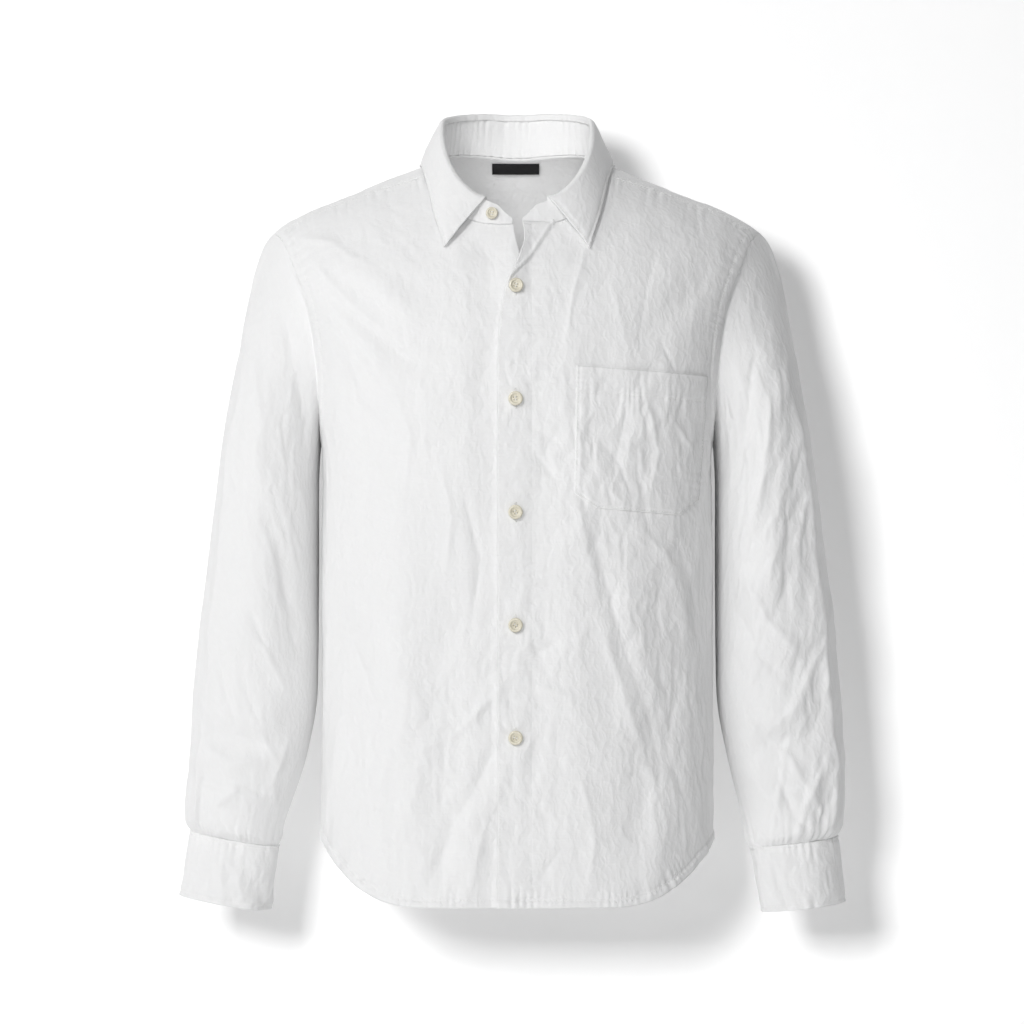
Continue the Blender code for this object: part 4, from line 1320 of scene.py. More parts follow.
@dataclass
class BodyCloth:
    """The folds, creases and seams of the cloth on the body's form, front and back."""

    torso: Torso
    crumple: Crumple = field(default_factory=Crumple)
    placket_stitch: float = 15.4
    placket_edge: float = -16.2
    button_x: float = -1.5
    button_top_z: float = -131.0
    button_pitch: float = 104.4
    button_count: int = 5
    # How near a seam the folds are calmed, how much of them stays there, how far crests stray
    calm_reach: float = 34.0
    calm_least: float = 0.12
    stray: float = 0.25
    # How strong the creases and the crumple are in front and behind
    front_creased: float = 1.2
    back_creased: float = 1.8
    back_crumpled: float = 1.7
    # Folds: both ends of a crest in x and z, its half width, and how far it stands out
    front_folds: tuple = drawn(
        "-205 -100 -120 -215 15 4; -190 -90 -85 -165 13 3; -175 -190 -95 -330 16 -3; "
        "-120 -290 -105 -640 24 3.5; -62 -380 -70 -690 18 -3; -165 -420 -150 -660 18 -2.5; "
        "8 -62 -12 -136 13 4.5; 70 -110 38 -240 18 1.4; 185 -110 110 -190 15 -3; "
        "48 -250 60 -660 20 3; 95 -360 135 -560 18 3; 165 -400 95 -690 20 -3; "
        "150 -560 120 -690 16 3"
    )
    back_folds: tuple = drawn(
        "-150 -170 -90 -420 20 3.5; -60 -150 -55 -620 18 -3; 10 -240 25 -660 22 3.5; "
        "80 -150 60 -480 18 -3; 150 -180 105 -470 20 3.5; -130 -460 -100 -700 20 3; "
        "120 -480 140 -690 20 -2.5"
    )
    # Creases: half width, height, then places in x and z
    front_creases: tuple = drawn(
        "6 1.8 -211,-80 -174,-87 -155,-101 -132,-112; "
        "8 -1.8 -214,-83 -193,-110 -169,-143 -137,-171 -108,-195 -76,-209; "
        "5 1.6 -204,-88 -180,-118 -150,-150 -118,-176; "
        "5 -1.3 -196,-110 -178,-150 -150,-190 -128,-232; 4 1.2 -182,-140 -160,-185 -141,-240; "
        "6 -1.6 -150,-250 -138,-300 -142,-352; 4 1.3 -112,-230 -98,-268 -104,-318; "
        "5 -1.4 -48,-329 -34,-384 -44,-458; 4 1.1 -70,-300 -60,-345 -66,-398; "
        "9 -2.6 -19,-560 -57,-624 -85,-698; 6 1.8 -16,-504 -57,-546 -88,-560; "
        "7 2 -22,-600 -34,-645 -46,-696; 5 -1.2 -150,-470 -132,-520 -138,-580; "
        "5 1.3 -118,-560 -128,-610 -120,-670; 6 -0.7 46,-250 26,-283 21,-333; "
        "4 -1.2 17,-264 40,-278; 4 -1.2 17,-287 36,-310; 4 -1.2 17,-472 40,-458; "
        "4 1 17,-500 42,-508; 3 -1 134,-184 148,-211; "
        "8 1.6 55,-329 67,-384 74,-421 88,-477 104,-523 123,-578 127,-634; "
        "6 -1.3 67,-352 84,-410 100,-470 120,-520 138,-590; "
        "6 1.8 113,-352 141,-384 155,-430 160,-458; 5 -1.4 150,-370 166,-412 171,-470; "
        "4 -1.2 40,-652 21,-680; 4 1.2 60,-590 72,-640 66,-690; "
        "5 -1.5 150,-500 142,-556 156,-612; 4 0.6 96,-90 88,-130 100,-176; "
        "4 -0.6 128,-92 120,-138 112,-182; 4 0.6 160,-96 168,-140 158,-188; "
        "4 1 64,-96 52,-136 44,-188; 3 1.2 146,-256 162,-282; 3 -1.2 100,-250 92,-290 104,-322; "
        "3 1 122,-246 130,-284 122,-326"
    )
    back_creases: tuple = drawn(
        "7 -2.2 190,-130 150,-180 100,-212 52,-236; 6 1.8 -196,-140 -150,-196 -98,-232; "
        "5 1.5 -60,-110 -72,-180 -58,-250; 5 -1.4 34,-108 42,-170 30,-236; "
        "6 1.7 92,-300 70,-360 84,-430; 6 -1.9 -120,-320 -96,-390 -110,-470; "
        "5 1.4 -30,-420 -12,-486 -22,-560; 7 -2 140,-420 118,-500 132,-590; "
        "6 1.8 40,-520 62,-590 50,-690; 5 -1.5 -150,-540 -138,-610 -150,-680; "
        "6 1.6 -70,-560 -88,-630 -76,-700; 5 1.3 160,-250 150,-310 158,-380"
    )
    armhole_finish: SeamFinish = SeamFinish(Pucker(9.0, 9.0, 0.70, 31), 9.5, 0.7, 0.6)
    shoulder_finish: SeamFinish = SeamFinish(Pucker(8.0, 12.0, 0.85, 34), 5.0, 0.5, 0.5)
    side_finish: SeamFinish = SeamFinish(Pucker(11.0, 8.0, 0.45, 37))
    hem_finish: SeamFinish = SeamFinish(Pucker(6.6, 6.5, 1.35, 40), 7.6, 1.0, 1.0)
    placket_finish: SeamFinish = SeamFinish(Pucker(12.0, 8.0, 0.45, 43))
    edge_finish: SeamFinish = SeamFinish(Pucker(9.5, 4.5, 0.22, 46))
    neck_finish: SeamFinish = SeamFinish(Pucker(9.0, 10.0, 0.55, 49))
    pocket_finish: SeamFinish = SeamFinish(Pucker(9.0, 6.0, 0.5, 52))
    # The turned-out edge below the neck: its free edge in x and z, and how far it stands out
    flap_edge: tuple = (
        (40.6, -64.2), (31.1, -75.5), (12.8, -104.5), (-3.9, -122.6), (-9.8, -130.3),
    )
    flap_rise: float = 1.6
    pocket_outline: tuple = (
        (55.0, -205.0), (54.0, -262.0), (52.6, -322.0), (73.0, -337.0), (112.0, -340.5),
        (152.0, -343.0), (168.0, -329.0), (174.5, -272.0), (178.0, -213.0),
    )

    def on_front(self, x: Array, z: Array) -> Array:
        """Points of the form's front over places in x and z."""
        return stack(x, -self.torso.depth(x, z, -1.0), z)

    def seams(self, side: float) -> list[tuple[SeamFinish, Array]]:
        """The seams of the front (side -1) or back (side 1), mirrored to both halves."""
        torso = self.torso
        end = torso.front_seam_angle() if side < 0 else torso.back_seam_angle() + TURN
        hole = torso.armhole(np.linspace(math.pi, end, 24))
        flank = torso.point(torso.side_share, np.linspace(-640.0, torso.armpit_z, 30), side)
        share = np.linspace(-1, 1, 120)
        hem = torso.point(torso.side_share * share, torso.hem_height(share, side), side)
        pairs = [(self.armhole_finish, hole), (self.side_finish, flank)]
        found = [(self.hem_finish, hem)]
        if side < 0:
            pairs.append((self.shoulder_finish, torso.shoulder_seam(np.linspace(0, 1, 24))))
            turns = np.linspace(torso.neck_corner, torso.neck_angle(5.0), 20)
            pairs.append((self.neck_finish, torso.neck(turns)))
        else:
            x = np.linspace(0, 214, 30)
            yoke = stack(x, torso.depth(x, torso.yoke_drop + 0 * x, 1.0), torso.yoke_drop + 0 * x)
            pairs.append((self.shoulder_finish, yoke))
        mirror = np.array([-1.0, 1.0, 1.0])[:, None]
        return found + pairs + [(finish, line * mirror) for finish, line in pairs]

    def seamed(self, lift: Array, points: Array, side: float) -> Array:
        """Calms the folds next to the seams, all but the hem, and adds each seam's relief."""
        seams, free, reach = self.seams(side), np.ones(points.shape[1:]), self.calm_reach
        for finish, line in seams:
            if finish is not self.hem_finish:
                free *= ramp(0.0, reach, beside(points, line)[1] + 0.1 * reach)
        lift = lift * mix(self.calm_least, 1.0, free)
        for finish, line in seams:
            lift += finish.lift(points, line)
        return lift

    def flap(self, x: Array, z: Array) -> Array:
        """The step at the free edge of the cloth that turns out below the neck."""
        edge_x, edge_z = np.array(self.flap_edge).T
        inside = np.interp(z, edge_z[::-1], edge_x[::-1]) - x
        long_ways = ramp(-131, -120, z) * ramp(-60, -70, z)
        rise = self.flap_rise + 0.9 * bell(inside - 2.0, 2.0)
        rise += 0.12 * np.clip(inside, 0, 26)
        return rise * long_ways * ramp(-1.4, 1.2, inside) * (inside > -8)

    def front(self, points: Array, side: Side) -> Array:
        """The relief of the front.

        Args:
            points: Places on the smooth form.
            side: The front that they are on.

        Returns:
            The height in millimetres.
        """
        x, y, z = points
        flat = np.ones_like(x)
        for number in range(self.button_count):
            height = self.button_top_z - number * self.button_pitch
            away = np.hypot(x - self.button_x, z - height)
            flat *= 0.1 + 0.9 * ramp(5.0, 15.0, away)
        fine = creased(np.stack([x, z]), self.front_creases, 300)
        on_left = ramp(-40, 90, x) * mix(1.15, 0.45, ramp(-230, -190, z))
        crush = self.crumple.height(self.torso.girth(points), z + 0.6 * y)
        on_right = mix(0.95, 1.6, ramp(-350, -560, z))
        fine = self.front_creased * fine + crush * mix(on_right, 1.55, on_left)
        lift = fold_lift(x, z, self.front_folds, self.stray) + fine * flat
        lift = self.seamed(lift, points, -1.0)
        heights = np.linspace(-704, -76, 60)
        for finish, at in (
            (self.placket_finish, self.placket_stitch), (self.edge_finish, self.placket_edge)
        ):
            line = self.on_front(at + 0 * heights, heights)
            lift += (x > -30) * finish.lift(points, line) * flat
        outline = np.array(self.pocket_outline).T
        lift += self.pocket_finish.lift(points[[0, 2]], outline) * (x > 20)
        return lift + self.flap(x, z) if side is Side.LEFT else lift

    def back(self, points: Array) -> Array:
        """The relief of the back, at places on the smooth form."""
        x, y, z = points
        lift = fold_lift(x, z, self.back_folds, self.stray)
        lift += self.back_creased * creased(np.stack([x, z]), self.back_creases, 500)
        crush = self.crumple.height(self.torso.girth(points), z - 0.6 * y, 900.0)
        return self.seamed(lift + self.back_crumpled * crush, points, 1.0)


@dataclass
class FrontPanel:
    """One front: its own edge, neck and shoulder seam above, armhole and side seam beside."""

    cloth: BodyCloth
    side: Side
    pitch: float = 1.65
    width: float = 272.0
    length: float = 640.0
    neck_share: float = 0.36
    hold: float = 4.0
    seam_gap: float = 0.7
    lap_depth: float = 2.5
    lap_full_at: float = 20.0
    lap_gone_at: float = 52.0
    lap_top: float = -76.0
    lap_top_full: float = -98.0
    left_edge: SizeTable = sizes(
        "height x", (-720, -18.0), (-400, -18.0), (-237, -18.0), (-172, -17.0), (-134, -11.3),
        (-102, 3.0), (-86, 7.0), (-71, 5.0),
    )
    right_edge: SizeTable = sizes(
        "height x", (-720, -16.0), (-400, -16.0), (-237, -16.0), (-172, -15.0), (-134, -10.0),
        (-102, -3.0), (-86, 1.5), (-71, 4.0),
    )

    @property
    def edge(self) -> SizeTable:
        """The front edge's table for this side."""
        return self.left_edge if self.side is Side.LEFT else self.right_edge

    def lay(self) -> ClothGrid:
        """The panel's smooth form as a fine grid."""
        torso = self.cloth.torso
        neck_start = torso.neck_angle(5.0 if self.side is Side.LEFT else 4.0)
        top_z = float(torso.neck(np.array(neck_start))[2])
        low = float(self.edge("x", np.array(torso.hem_front))) / torso.reference_half_width
        low_share = math.copysign(float(np.interp(abs(low), torso.ring_x, torso.ring_share)), low)
        seam_turn = torso.front_seam_angle(-self.seam_gap / 2)

        def foot(u: Array) -> Array:
            share = mix(low_share, torso.side_share, u)
            return np.array([share, torso.hem_height(share, -1.0)])

        def head(u: Array) -> Array:
            eased = np.clip(u / self.neck_share, 0, 1) ** torso.neck_ease
            turn = mix(neck_start, torso.neck_corner, eased)
            run = np.clip((u - self.neck_share) / (1 - self.neck_share), 0, 1)
            on_seam = torso.shoulder_seam(run, -self.seam_gap / 2)
            near = torso.flat_place(torso.neck(turn))
            return np.where(u < self.neck_share, near, torso.flat_place(on_seam))

        def start_edge(v: Array) -> Array:
            z = mix(torso.hem_front, top_z, v)
            x = self.edge("x", z)
            share = np.interp(np.abs(x) / torso.half_width(z), torso.ring_x, torso.ring_share)
            return np.array([np.sign(x) * share, z])

        def end_edge(v: Array) -> Array:
            return torso.side_edge(v, -1.0, seam_turn)

        u, v = unit_square(self.pitch, self.width, self.length)
        share, z = coons(foot, head, start_edge, end_edge, u, v, self.hold)
        points = torso.point(share, z, -1.0)
        points[0] *= self.side.value
        points[1] = np.minimum(points[1], -self.seam_gap / 2)
        return ClothGrid(points, self.side.value)

    def build(self, room: Workroom, sewing: Sewing) -> None:
        """Makes the front.

        Args:
            room: Where it is placed.
            sewing: Takes its stitches.
        """
        grid = self.lay()
        lift = self.cloth.front(grid.rest, self.side)
        if self.side is Side.RIGHT:
            x, _, z = grid.rest
            under = 1 - ramp(self.lap_full_at, self.lap_gone_at, np.abs(x))
            lift -= self.lap_depth * under * ramp(self.lap_top, self.lap_top_full, z)
        grid.push(lift)
        sewing.rows(grid, 0, (Edge.FOOT, 7.6))
        sewing.rows(grid, 6, (Edge.END, 9.5))
        sewing.rows(grid, 4, (Edge.HEAD, 2.2))
        above_armpit = ramp(-278, -268, grid.rest[2, :, -1])
        grid.tuck(Edge.END, 2.4 * above_armpit + 0.01, 1.5 * above_armpit)
        grid.tuck(Edge.HEAD, 2.2, 1.4)
        room.cloth(self.side.of("front"), grid, (300, 770), 0.78)


@dataclass
class BackPanel:
    """The back, from side seam to side seam and from the hem to the yoke."""

    cloth: BodyCloth
    pitch: float = 2.8
    width: float = 520.0
    length: float = 630.0
    seam_gap: float = 0.7

    def lay(self) -> ClothGrid:
        """The panel's smooth form as a fine grid."""
        torso = self.cloth.torso
        seam_turn = torso.back_seam_angle(self.seam_gap)
        seam_share = float(torso.share_round(torso.armhole(np.array(seam_turn))))
        top = torso.yoke_drop - self.seam_gap

        def outer(v: Array) -> Array:
            return torso.side_edge(v, 1.0, seam_turn)

        def foot(s: Array) -> Array:
            share = torso.side_share * s
            return np.array([share, torso.hem_height(share, 1.0)])

        def head(s: Array) -> Array:
            return np.array([seam_share * s, top + 0 * s])

        def middle(v: Array) -> Array:
            return np.array([0 * v, mix(torso.hem_back, top, v)])

        u, v = unit_square(self.pitch, self.width, self.length)
        half = 1 - 2 * u
        share, z = coons(foot, head, middle, outer, np.abs(half), v)
        points = torso.point(share * np.sign(half), z, 1.0)
        points[1] = np.maximum(points[1], self.seam_gap / 2)
        return ClothGrid(points)

    def build(self, room: Workroom, sewing: Sewing) -> None:
        """Makes the back with the stitching of its hem and its yoke seam."""
        grid = self.lay()
        grid.push(self.cloth.back(grid.rest))
        sewing.rows(grid, 0, (Edge.FOOT, 7.6), (Edge.HEAD, 3.0))
        for edge in (Edge.START, Edge.END, Edge.HEAD):
            grid.tuck(edge, 2.4, 1.5)
        room.cloth("back", grid, (530, 640), 0.93)


@dataclass
class Yoke:
    """The yoke over both shoulders, from the front seams to the back seam."""

    cloth: BodyCloth
    pitch: float = 2.2
    width: float = 500.0
    depth: float = 150.0
    neck_share: float = 0.46
    seam_gap: float = 0.7
    creases: tuple = drawn(
        "5 1.2 120,60 90,84 60,96; 5 -1.2 -140,40 -110,74 -84,92; 4 1 -40,70 -52,96 -44,112; "
        "4 -1 170,10 150,40 144,74; 4 1 -190,0 -170,34 -176,66"
    )
    seam_pucker: Pucker = Pucker(8.0, 10.0, 0.6, 61)

    def lay(self) -> ClothGrid:
        """The yoke's smooth form as a fine grid, laid out in plan."""
        torso = self.cloth.torso
        back_turn = torso.back_seam_angle()
        x_back = float(torso.armhole(np.array(back_turn))[0])

        def front(s: Array) -> Array:
            half = 2 * s - 1
            size = np.abs(half)
            turn = mix(0, torso.neck_corner, np.clip(size / self.neck_share, 0, 1))
            run = np.clip((size - self.neck_share) / (1 - self.neck_share), 0, 1)
            on_seam = torso.shoulder_seam(run, self.seam_gap / 2)
            plan = np.where(size < self.neck_share, torso.neck(turn), on_seam)
            return np.array([plan[0] * np.sign(half), plan[1]])

        def back(s: Array) -> Array:
            x = x_back * (2 * s - 1)
            return np.array([x, torso.depth(x, torso.yoke_drop + 0 * x, 1.0)])

        def end(t: Array) -> Array:
            return torso.armhole(mix(torso.front_seam_angle(self.seam_gap / 2), back_turn, t))[:2]

        def start(t: Array) -> Array:
            return end(t) * np.array([-1.0, 1.0])[:, None, None]

        u, v = unit_square(self.pitch, self.width, self.depth)
        x, y = coons(front, back, start, end, u, v)
        return ClothGrid(stack(x, y, torso.height_over(x, y)))

    def build(self, room: Workroom, sewing: Sewing) -> None:
        """Makes the yoke with the stitching of its seams."""
        grid = self.lay()
        edges = [grid.away(edge) for edge in Edge]
        clear = ramp(0, 26, np.minimum.reduce(edges) + 3)
        lift = creased(grid.rest[:2], self.creases, 700)
        crush = self.cloth.crumple.height(grid.rest[0], 1.3 * grid.rest[1], 400.0)
        lift = (lift + crush) * clear
        for edge in (Edge.FOOT, Edge.HEAD):
            lift += grid.gathers(self.seam_pucker, edge)
        grid.push(lift)
        sewing.rows(grid, 4, (Edge.FOOT, 2.0), (Edge.FOOT, 6.5), (Edge.HEAD, 2.0))
        for edge in (Edge.START, Edge.END):
            grid.tuck(edge, 2.4, 1.5)
        room.cloth("yoke", grid, (510, 190), 0.75)


@dataclass
class Sleeve:
    """A sleeve: out of the armhole seam, over into a tube, and down to the cuff."""

    cloth: BodyCloth
    side: Side
    pitch: float = 2.0
    round_length: float = 400.0
    length: float = 545.0
    seam_share: float = 0.005
    seam_row: float = 2.5
    seam_gap: float = 0.8
    cap_share: float = 0.26
    cap_ease: float = 1.25
    out_at_armpit: float = 11.0
    out_at_top: float = 77.0
    down_at_armpit: float = 55.0
    down_at_top: float = 115.0
    roundness: float = 0.92
    crease_at: float = 48.0
    crease_width: float = 11.0
    crease_height: float = 4.0
    creased: float = 1.35
    left_crumpled: float = 2.1
    right_crumpled: float = 1.4
    rings: SizeTable = sizes(
        "along outer_x outer_z inner_x inner_z depth middle_y",
        (0.00, 270.0, -205, 190.5, -318, 146, 3), (0.12, 280.5, -262, 190.5, -352, 150, 4),
        (0.26, 289.0, -325, 190.5, -392, 146, 5), (0.40, 297.0, -390, 190.8, -436, 136, 5),
        (0.53, 304.0, -450, 191.0, -480, 124, 3), (0.65, 309.5, -505, 192.5, -525, 112, 0),
        (0.78, 313.0, -560, 202.0, -576, 98, -4), (0.89, 314.0, -605, 212.5, -620, 88, -7),
        (0.97, 310.5, -639, 220.0, -651, 76, -9), (1.00, 306.7, -648.4, 221.3, -658.6, 63, -10),
    )
    # Folds across: place along, place round in degrees, half sizes, and how far out
    folds: tuple = drawn(
        "0.3 95 0.16 26 3; 0.44 150 0.05 40 -3; 0.52 60 0.05 38 3; 0.6 120 0.04 40 -3.5; "
        "0.68 80 0.05 40 3.5; 0.75 100 0.03 45 -3.5; 0.81 60 0.03 45 3; 0.88 110 0.03 50 3.5; "
        "0.55 -90 0.05 50 -3.5; 0.64 -70 0.05 50 3.5; 0.78 -110 0.05 50 3; 0.86 -80 0.03 50 -3"
    )
    # Creases on the front half, in x and z: half width, height, then places
    right_creases: tuple = drawn(
        "8 -2.6 -221,-150 -212,-190 -204,-222 -197,-262; "
        "9 -3 -235,-329 -219,-395 -208,-461 -200,-480; 6 2.2 -252,-140 -261,-253 -264,-329; "
        "5 1.6 -246,-200 -240,-260 -247,-310; 4 -1.6 -252,-432 -235,-470; "
        "4 1.8 -241,-461 -219,-508; 4 -1.6 -257,-499 -241,-550; 4 1.6 -247,-536 -224,-584; "
        "4 -1.4 -284,-470 -272,-520 -262,-548; 4 -2 -302,-595 -278,-600; "
        "4 2 -283,-617 -262,-599; 4 -1.8 -257,-598 -238,-607; "
        "5 1.8 -296,-560 -270,-578 -240,-572; 4 1.4 -218,-560 -232,-596 -228,-630"
    )
    left_creases: tuple = drawn(
        "5 1.8 253,-566 281,-612 294,-634; 5 1.8 264,-652 270,-621 291,-574; "
        "4 -1.6 246,-590 262,-628 284,-646; 6 -2.2 222,-200 214,-262 204,-330; "
        "5 1.6 238,-236 232,-300 220,-352; 5 -1.6 262,-330 250,-382 256,-440; "
        "6 2 214,-398 234,-440 262,-470; 5 -1.8 206,-432 228,-474 256,-502; "
        "5 1.6 282,-478 262,-524 236,-548; 4 -1.5 216,-520 236,-556 262,-566; "
        "4 1.5 222,-590 240,-610 266,-604; 4 1.3 270,-390 280,-430 276,-468"
    )
    back_creases: tuple = drawn(
        "7 -2.2 222,-190 232,-262 224,-330; 6 1.9 250,-230 258,-300 246,-372; "
        "6 -2 210,-400 236,-446 270,-466; 5 1.8 284,-440 258,-492 226,-512; "
        "5 -1.7 224,-540 250,-570 286,-574; 5 1.7 296,-600 268,-620 238,-612"
    )
    cuff_pucker: Pucker = Pucker(8.0, 12.0, 2.1, 71)
    seam_pucker: Pucker = Pucker(8.5, 8.0, 0.5, 75)

    def ring(self, along: Array, turn: Array) -> Array:
        """A point of the tube: along its length and round from its outer side."""
        return tube_ring(self.rings, along, turn, self.roundness)

    def shape(self, turn: Array, v: Array) -> tuple[Array, Array]:
        """The left sleeve's form with its large folds.

        Args:
            turn: Angles round, in one row.
            v: Shares from the armhole to the cuff, in one column.

        Returns:
            The points, and the share down the tube at each row.
        """
        torso = self.cloth.torso
        leave = torso.leave_armhole(turn)
        reach = self.seam_gap + self.seam_row * np.clip(v / self.seam_share, 0, 1)
        start = torso.armhole(turn) + leave * reach
        goal = self.ring(0 * v, turn)
        beyond = self.ring(0.05 + 0 * v, turn)
        heading = unit(beyond - goal)
        top = np.clip(np.cos(turn), 0, 1) ** 2
        out_pull = mix(self.out_at_armpit, self.out_at_top, top)
        down_pull = mix(self.down_at_armpit, self.down_at_top, top)
        t = np.clip((v - self.seam_share) / (self.cap_share - self.seam_share), 0, 1)
        t = t**self.cap_ease
        cap = (2 * t**3 - 3 * t**2 + 1) * start + (t**3 - 2 * t**2 + t) * out_pull * leave
        cap = cap + (3 * t**2 - 2 * t**3) * goal + (t**3 - t**2) * down_pull * heading
        down = np.clip((v - self.cap_share) / (1 - self.cap_share), 0, 1)
        points = np.where(v < self.cap_share, cap, self.ring(down, turn))
        return points + self.fold(turn, down) * level_out(turn), down

    def fold(self, turn: Array, down: Array) -> Array:
        """The pressed creases down the front and back, and the folds across."""
        degrees = degrees_round(turn)
        lift = 0 * turn
        for crease in (self.crease_at, -self.crease_at):
            lift += self.crease_height * bell(degrees - crease, self.crease_width)
        for at, around, half_along, half_round, height in self.folds:
            reach = ((down - at) / half_along) ** 2 + ((degrees - around) / half_round) ** 2
            lift = lift + height * np.exp(-reach)
        away_from_body = ramp(-0.75, -0.2, np.cos(turn))
        clear_of_ends = ramp(0.02, 0.12, down) * (1 - ramp(0.94, 0.99, down))
        return lift * away_from_body * clear_of_ends

    def relief(self, grid: ClothGrid, turn: Array, down: Array) -> Array:
        """The finer creases, the crumple and the gathers at both ends.

        Args:
            grid: The sleeve's smooth form.
            turn: Angles round, in one row.
            down: Shares down the tube, in one column.

        Returns:
            The height in millimetres.
        """
        x, _, z = grid.rest
        degrees = degrees_round(turn)
        front = ramp(-0.15, 0.15, np.sin(turn))
        in_front = self.left_creases if self.side is Side.LEFT else self.right_creases
        lift = front * creased(np.stack([x, z]), in_front, 800)
        lift += (1 - front) * creased(np.stack([np.abs(x), z]), self.back_creases, 900)
        pressed = 0
        for crease in (self.crease_at, -self.crease_at):
            off = (degrees - crease + 2.0 * waver(grid.along, 77, 60)) / 3.4
            pressed += 2.4 * np.exp(-np.sqrt(off**2 + 0.1) + 0.32)
        strip = ramp(34, 50, np.abs(degrees))
        # Measured round from the outer side, so that the pattern's ends meet next to the body
        around = degrees + 0 * grid.along
        crush = self.cloth.crumple.height(
            around * self.round_length / 360, grid.along, 1500.0 + 400 * self.side.value
        )
        strength = self.left_crumpled if self.side is Side.LEFT else self.right_crumpled
        lift = self.creased * lift + pressed * ramp(0.0, 0.1, down)
        lift += strength * crush * mix(0.4, 1.0, strip)
        facing_body = ramp(-0.99, -0.55, np.cos(turn))
        foot, head = grid.away(Edge.FOOT), grid.away(Edge.HEAD)
        ends = ramp(0, 30, foot) * ramp(0, 22, head + 2)
        lift = lift * mix(0.02, 1.0, facing_body) * mix(0.1, 1.0, ends)
        lift += grid.gathers(self.seam_pucker, Edge.FOOT)
        gathers = grid.gathers(self.cuff_pucker, Edge.HEAD) + 0.9 * bell(head - 9, 7)
        return lift + gathers * mix(0.2, 1.0, ramp(0, 6, head)) - 0.3 * bell(head, 2.5)

    def build(self, room: Workroom, _: Sewing) -> None:
        """Makes the sleeve, on which no stitches show."""
        start = self.cloth.torso.front_seam_angle()
        turn = lattice(start, start + TURN, self.pitch / self.round_length * TURN)[None, :-1]
        rows = lattice(self.seam_share, 1, self.pitch / self.length)
        v = np.concatenate([[0, self.seam_share / 2], rows])[:, None]
        points, down = self.shape(turn, v)
        points[0] *= self.side.value
        grid = ClothGrid(swing(points, self.side), self.side.value, closed=True)
        grid.push(self.relief(grid, turn, down))
        grid.tuck(Edge.HEAD, 3.6, 0.8)
        room.cloth(self.side.of("sleeve"), grid, (480, 570), 0.72)


def degrees_round(turn: Array) -> Array:
    """Angles round a sleeve as degrees from its outer side, from -180 to 180."""
    return np.degrees((turn + math.pi) % TURN - math.pi)


def swing(points: Array, side: Side) -> Array:
    """Hangs the foot of the wearer's right sleeve 6 mm further out and its outer side higher."""
    if side is Side.LEFT:
        return points
    share = ramp(-570.0, -655.0, points[2])
    outer = ramp(200.0, 330.0, np.abs(points[0]))
    return points + stack(-6.5 * share, 0 * share, 6.0 * share * outer)


def level_out(turn: Array) -> Array:
    """The level way out of a sleeve, round from its outer side."""
    return np.array([np.cos(turn), -np.sin(turn), 0 * turn])


def tube_ring(table: SizeTable, along: Array, turn: Array, roundness: float) -> Array:
    """A point of a sleeve or cuff.

    Args:
        table: The tube's sections.
        along: The share of its length.
        turn: The angle round from its outer side.
        roundness: The ring's roundness, 1 for an ellipse.

    Returns:
        The points, in millimetres.
    """
    outer_x, inner_x = table("outer_x", along), table("inner_x", along)
    outer_z, inner_z = table("outer_z", along), table("inner_z", along)
    cosine, sine = np.cos(turn), np.sin(turn)
    wide = np.sign(cosine) * np.abs(cosine) ** roundness
    deep = np.sign(sine) * np.abs(sine) ** roundness
    x = (outer_x + inner_x) / 2 + (outer_x - inner_x) / 2 * wide
    z = (outer_z + inner_z) / 2 + (outer_z - inner_z) / 2 * wide
    return stack(x, table("middle_y", along) - table("depth", along) / 2 * deep, z)


@dataclass
class Cuff:
    """A buttoned cuff, whose ends lap on the back outer side, the under end inside."""

    cloth: BodyCloth
    side: Side
    pitch: float = 1.4
    round_length: float = 262.0
    height: float = 64.0
    crumpled: float = 2.3
    begin: float = math.radians(-104)
    lap: float = math.radians(34)
    tuck: float = 3.0
    roundness: float = 0.92
    rings: SizeTable = sizes(
        "along outer_x outer_z inner_x inner_z depth middle_y",
        (0.0, 306.7, -649, 221.3, -659.2, 63, -10), (1.0, 315.3, -711, 230.4, -721.0, 64, -12),
    )
    top_pucker: Pucker = Pucker(8.0, 10.0, 1.3, 81)
    foot_pucker: Pucker = Pucker(10.0, 5.0, 0.35, 84)

    def shape(self, u: Array, v: Array) -> Array:
        """The cuff's smooth form."""
        turn = self.begin + (TURN + self.lap) * u
        under = 1 - ramp(self.lap * 1.15, self.lap * 2.4, turn - self.begin)
        points = tube_ring(self.rings, v, turn, self.roundness)
        points -= self.tuck * under * level_out(turn)
        points[0] *= self.side.value
        return swing(points, self.side)

    def build(self, room: Workroom, sewing: Sewing) -> None:
        """Makes the cuff and its stitching."""
        u, v = unit_square(self.pitch, self.round_length, self.height)
        grid = ClothGrid(self.shape(u, v), self.side.value)
        shift = 2200.0 + 300 * self.side.value
        lift = self.crumpled * self.cloth.crumple.height(grid.across, grid.along, shift)
        for edge, pucker in ((Edge.FOOT, self.top_pucker), (Edge.HEAD, self.foot_pucker)):
            lift = lift + grid.gathers(pucker, edge) - 0.6 * bell(grid.away(edge) - 3.5, 1.4)
        under = (TURN + self.lap) * u < 1.6 * self.lap
        grid.push(np.where(under, 0.3, 1.0) * lift)
        room.cloth(self.side.of("cuff"), grid, (262, 64), 1.0, wall=1.5)
        insets = ((Edge.FOOT, 3.0), (Edge.HEAD, 5.0), (Edge.START, 5.0), (Edge.END, 5.0))
        sewing.rows(grid, 3, *insets)


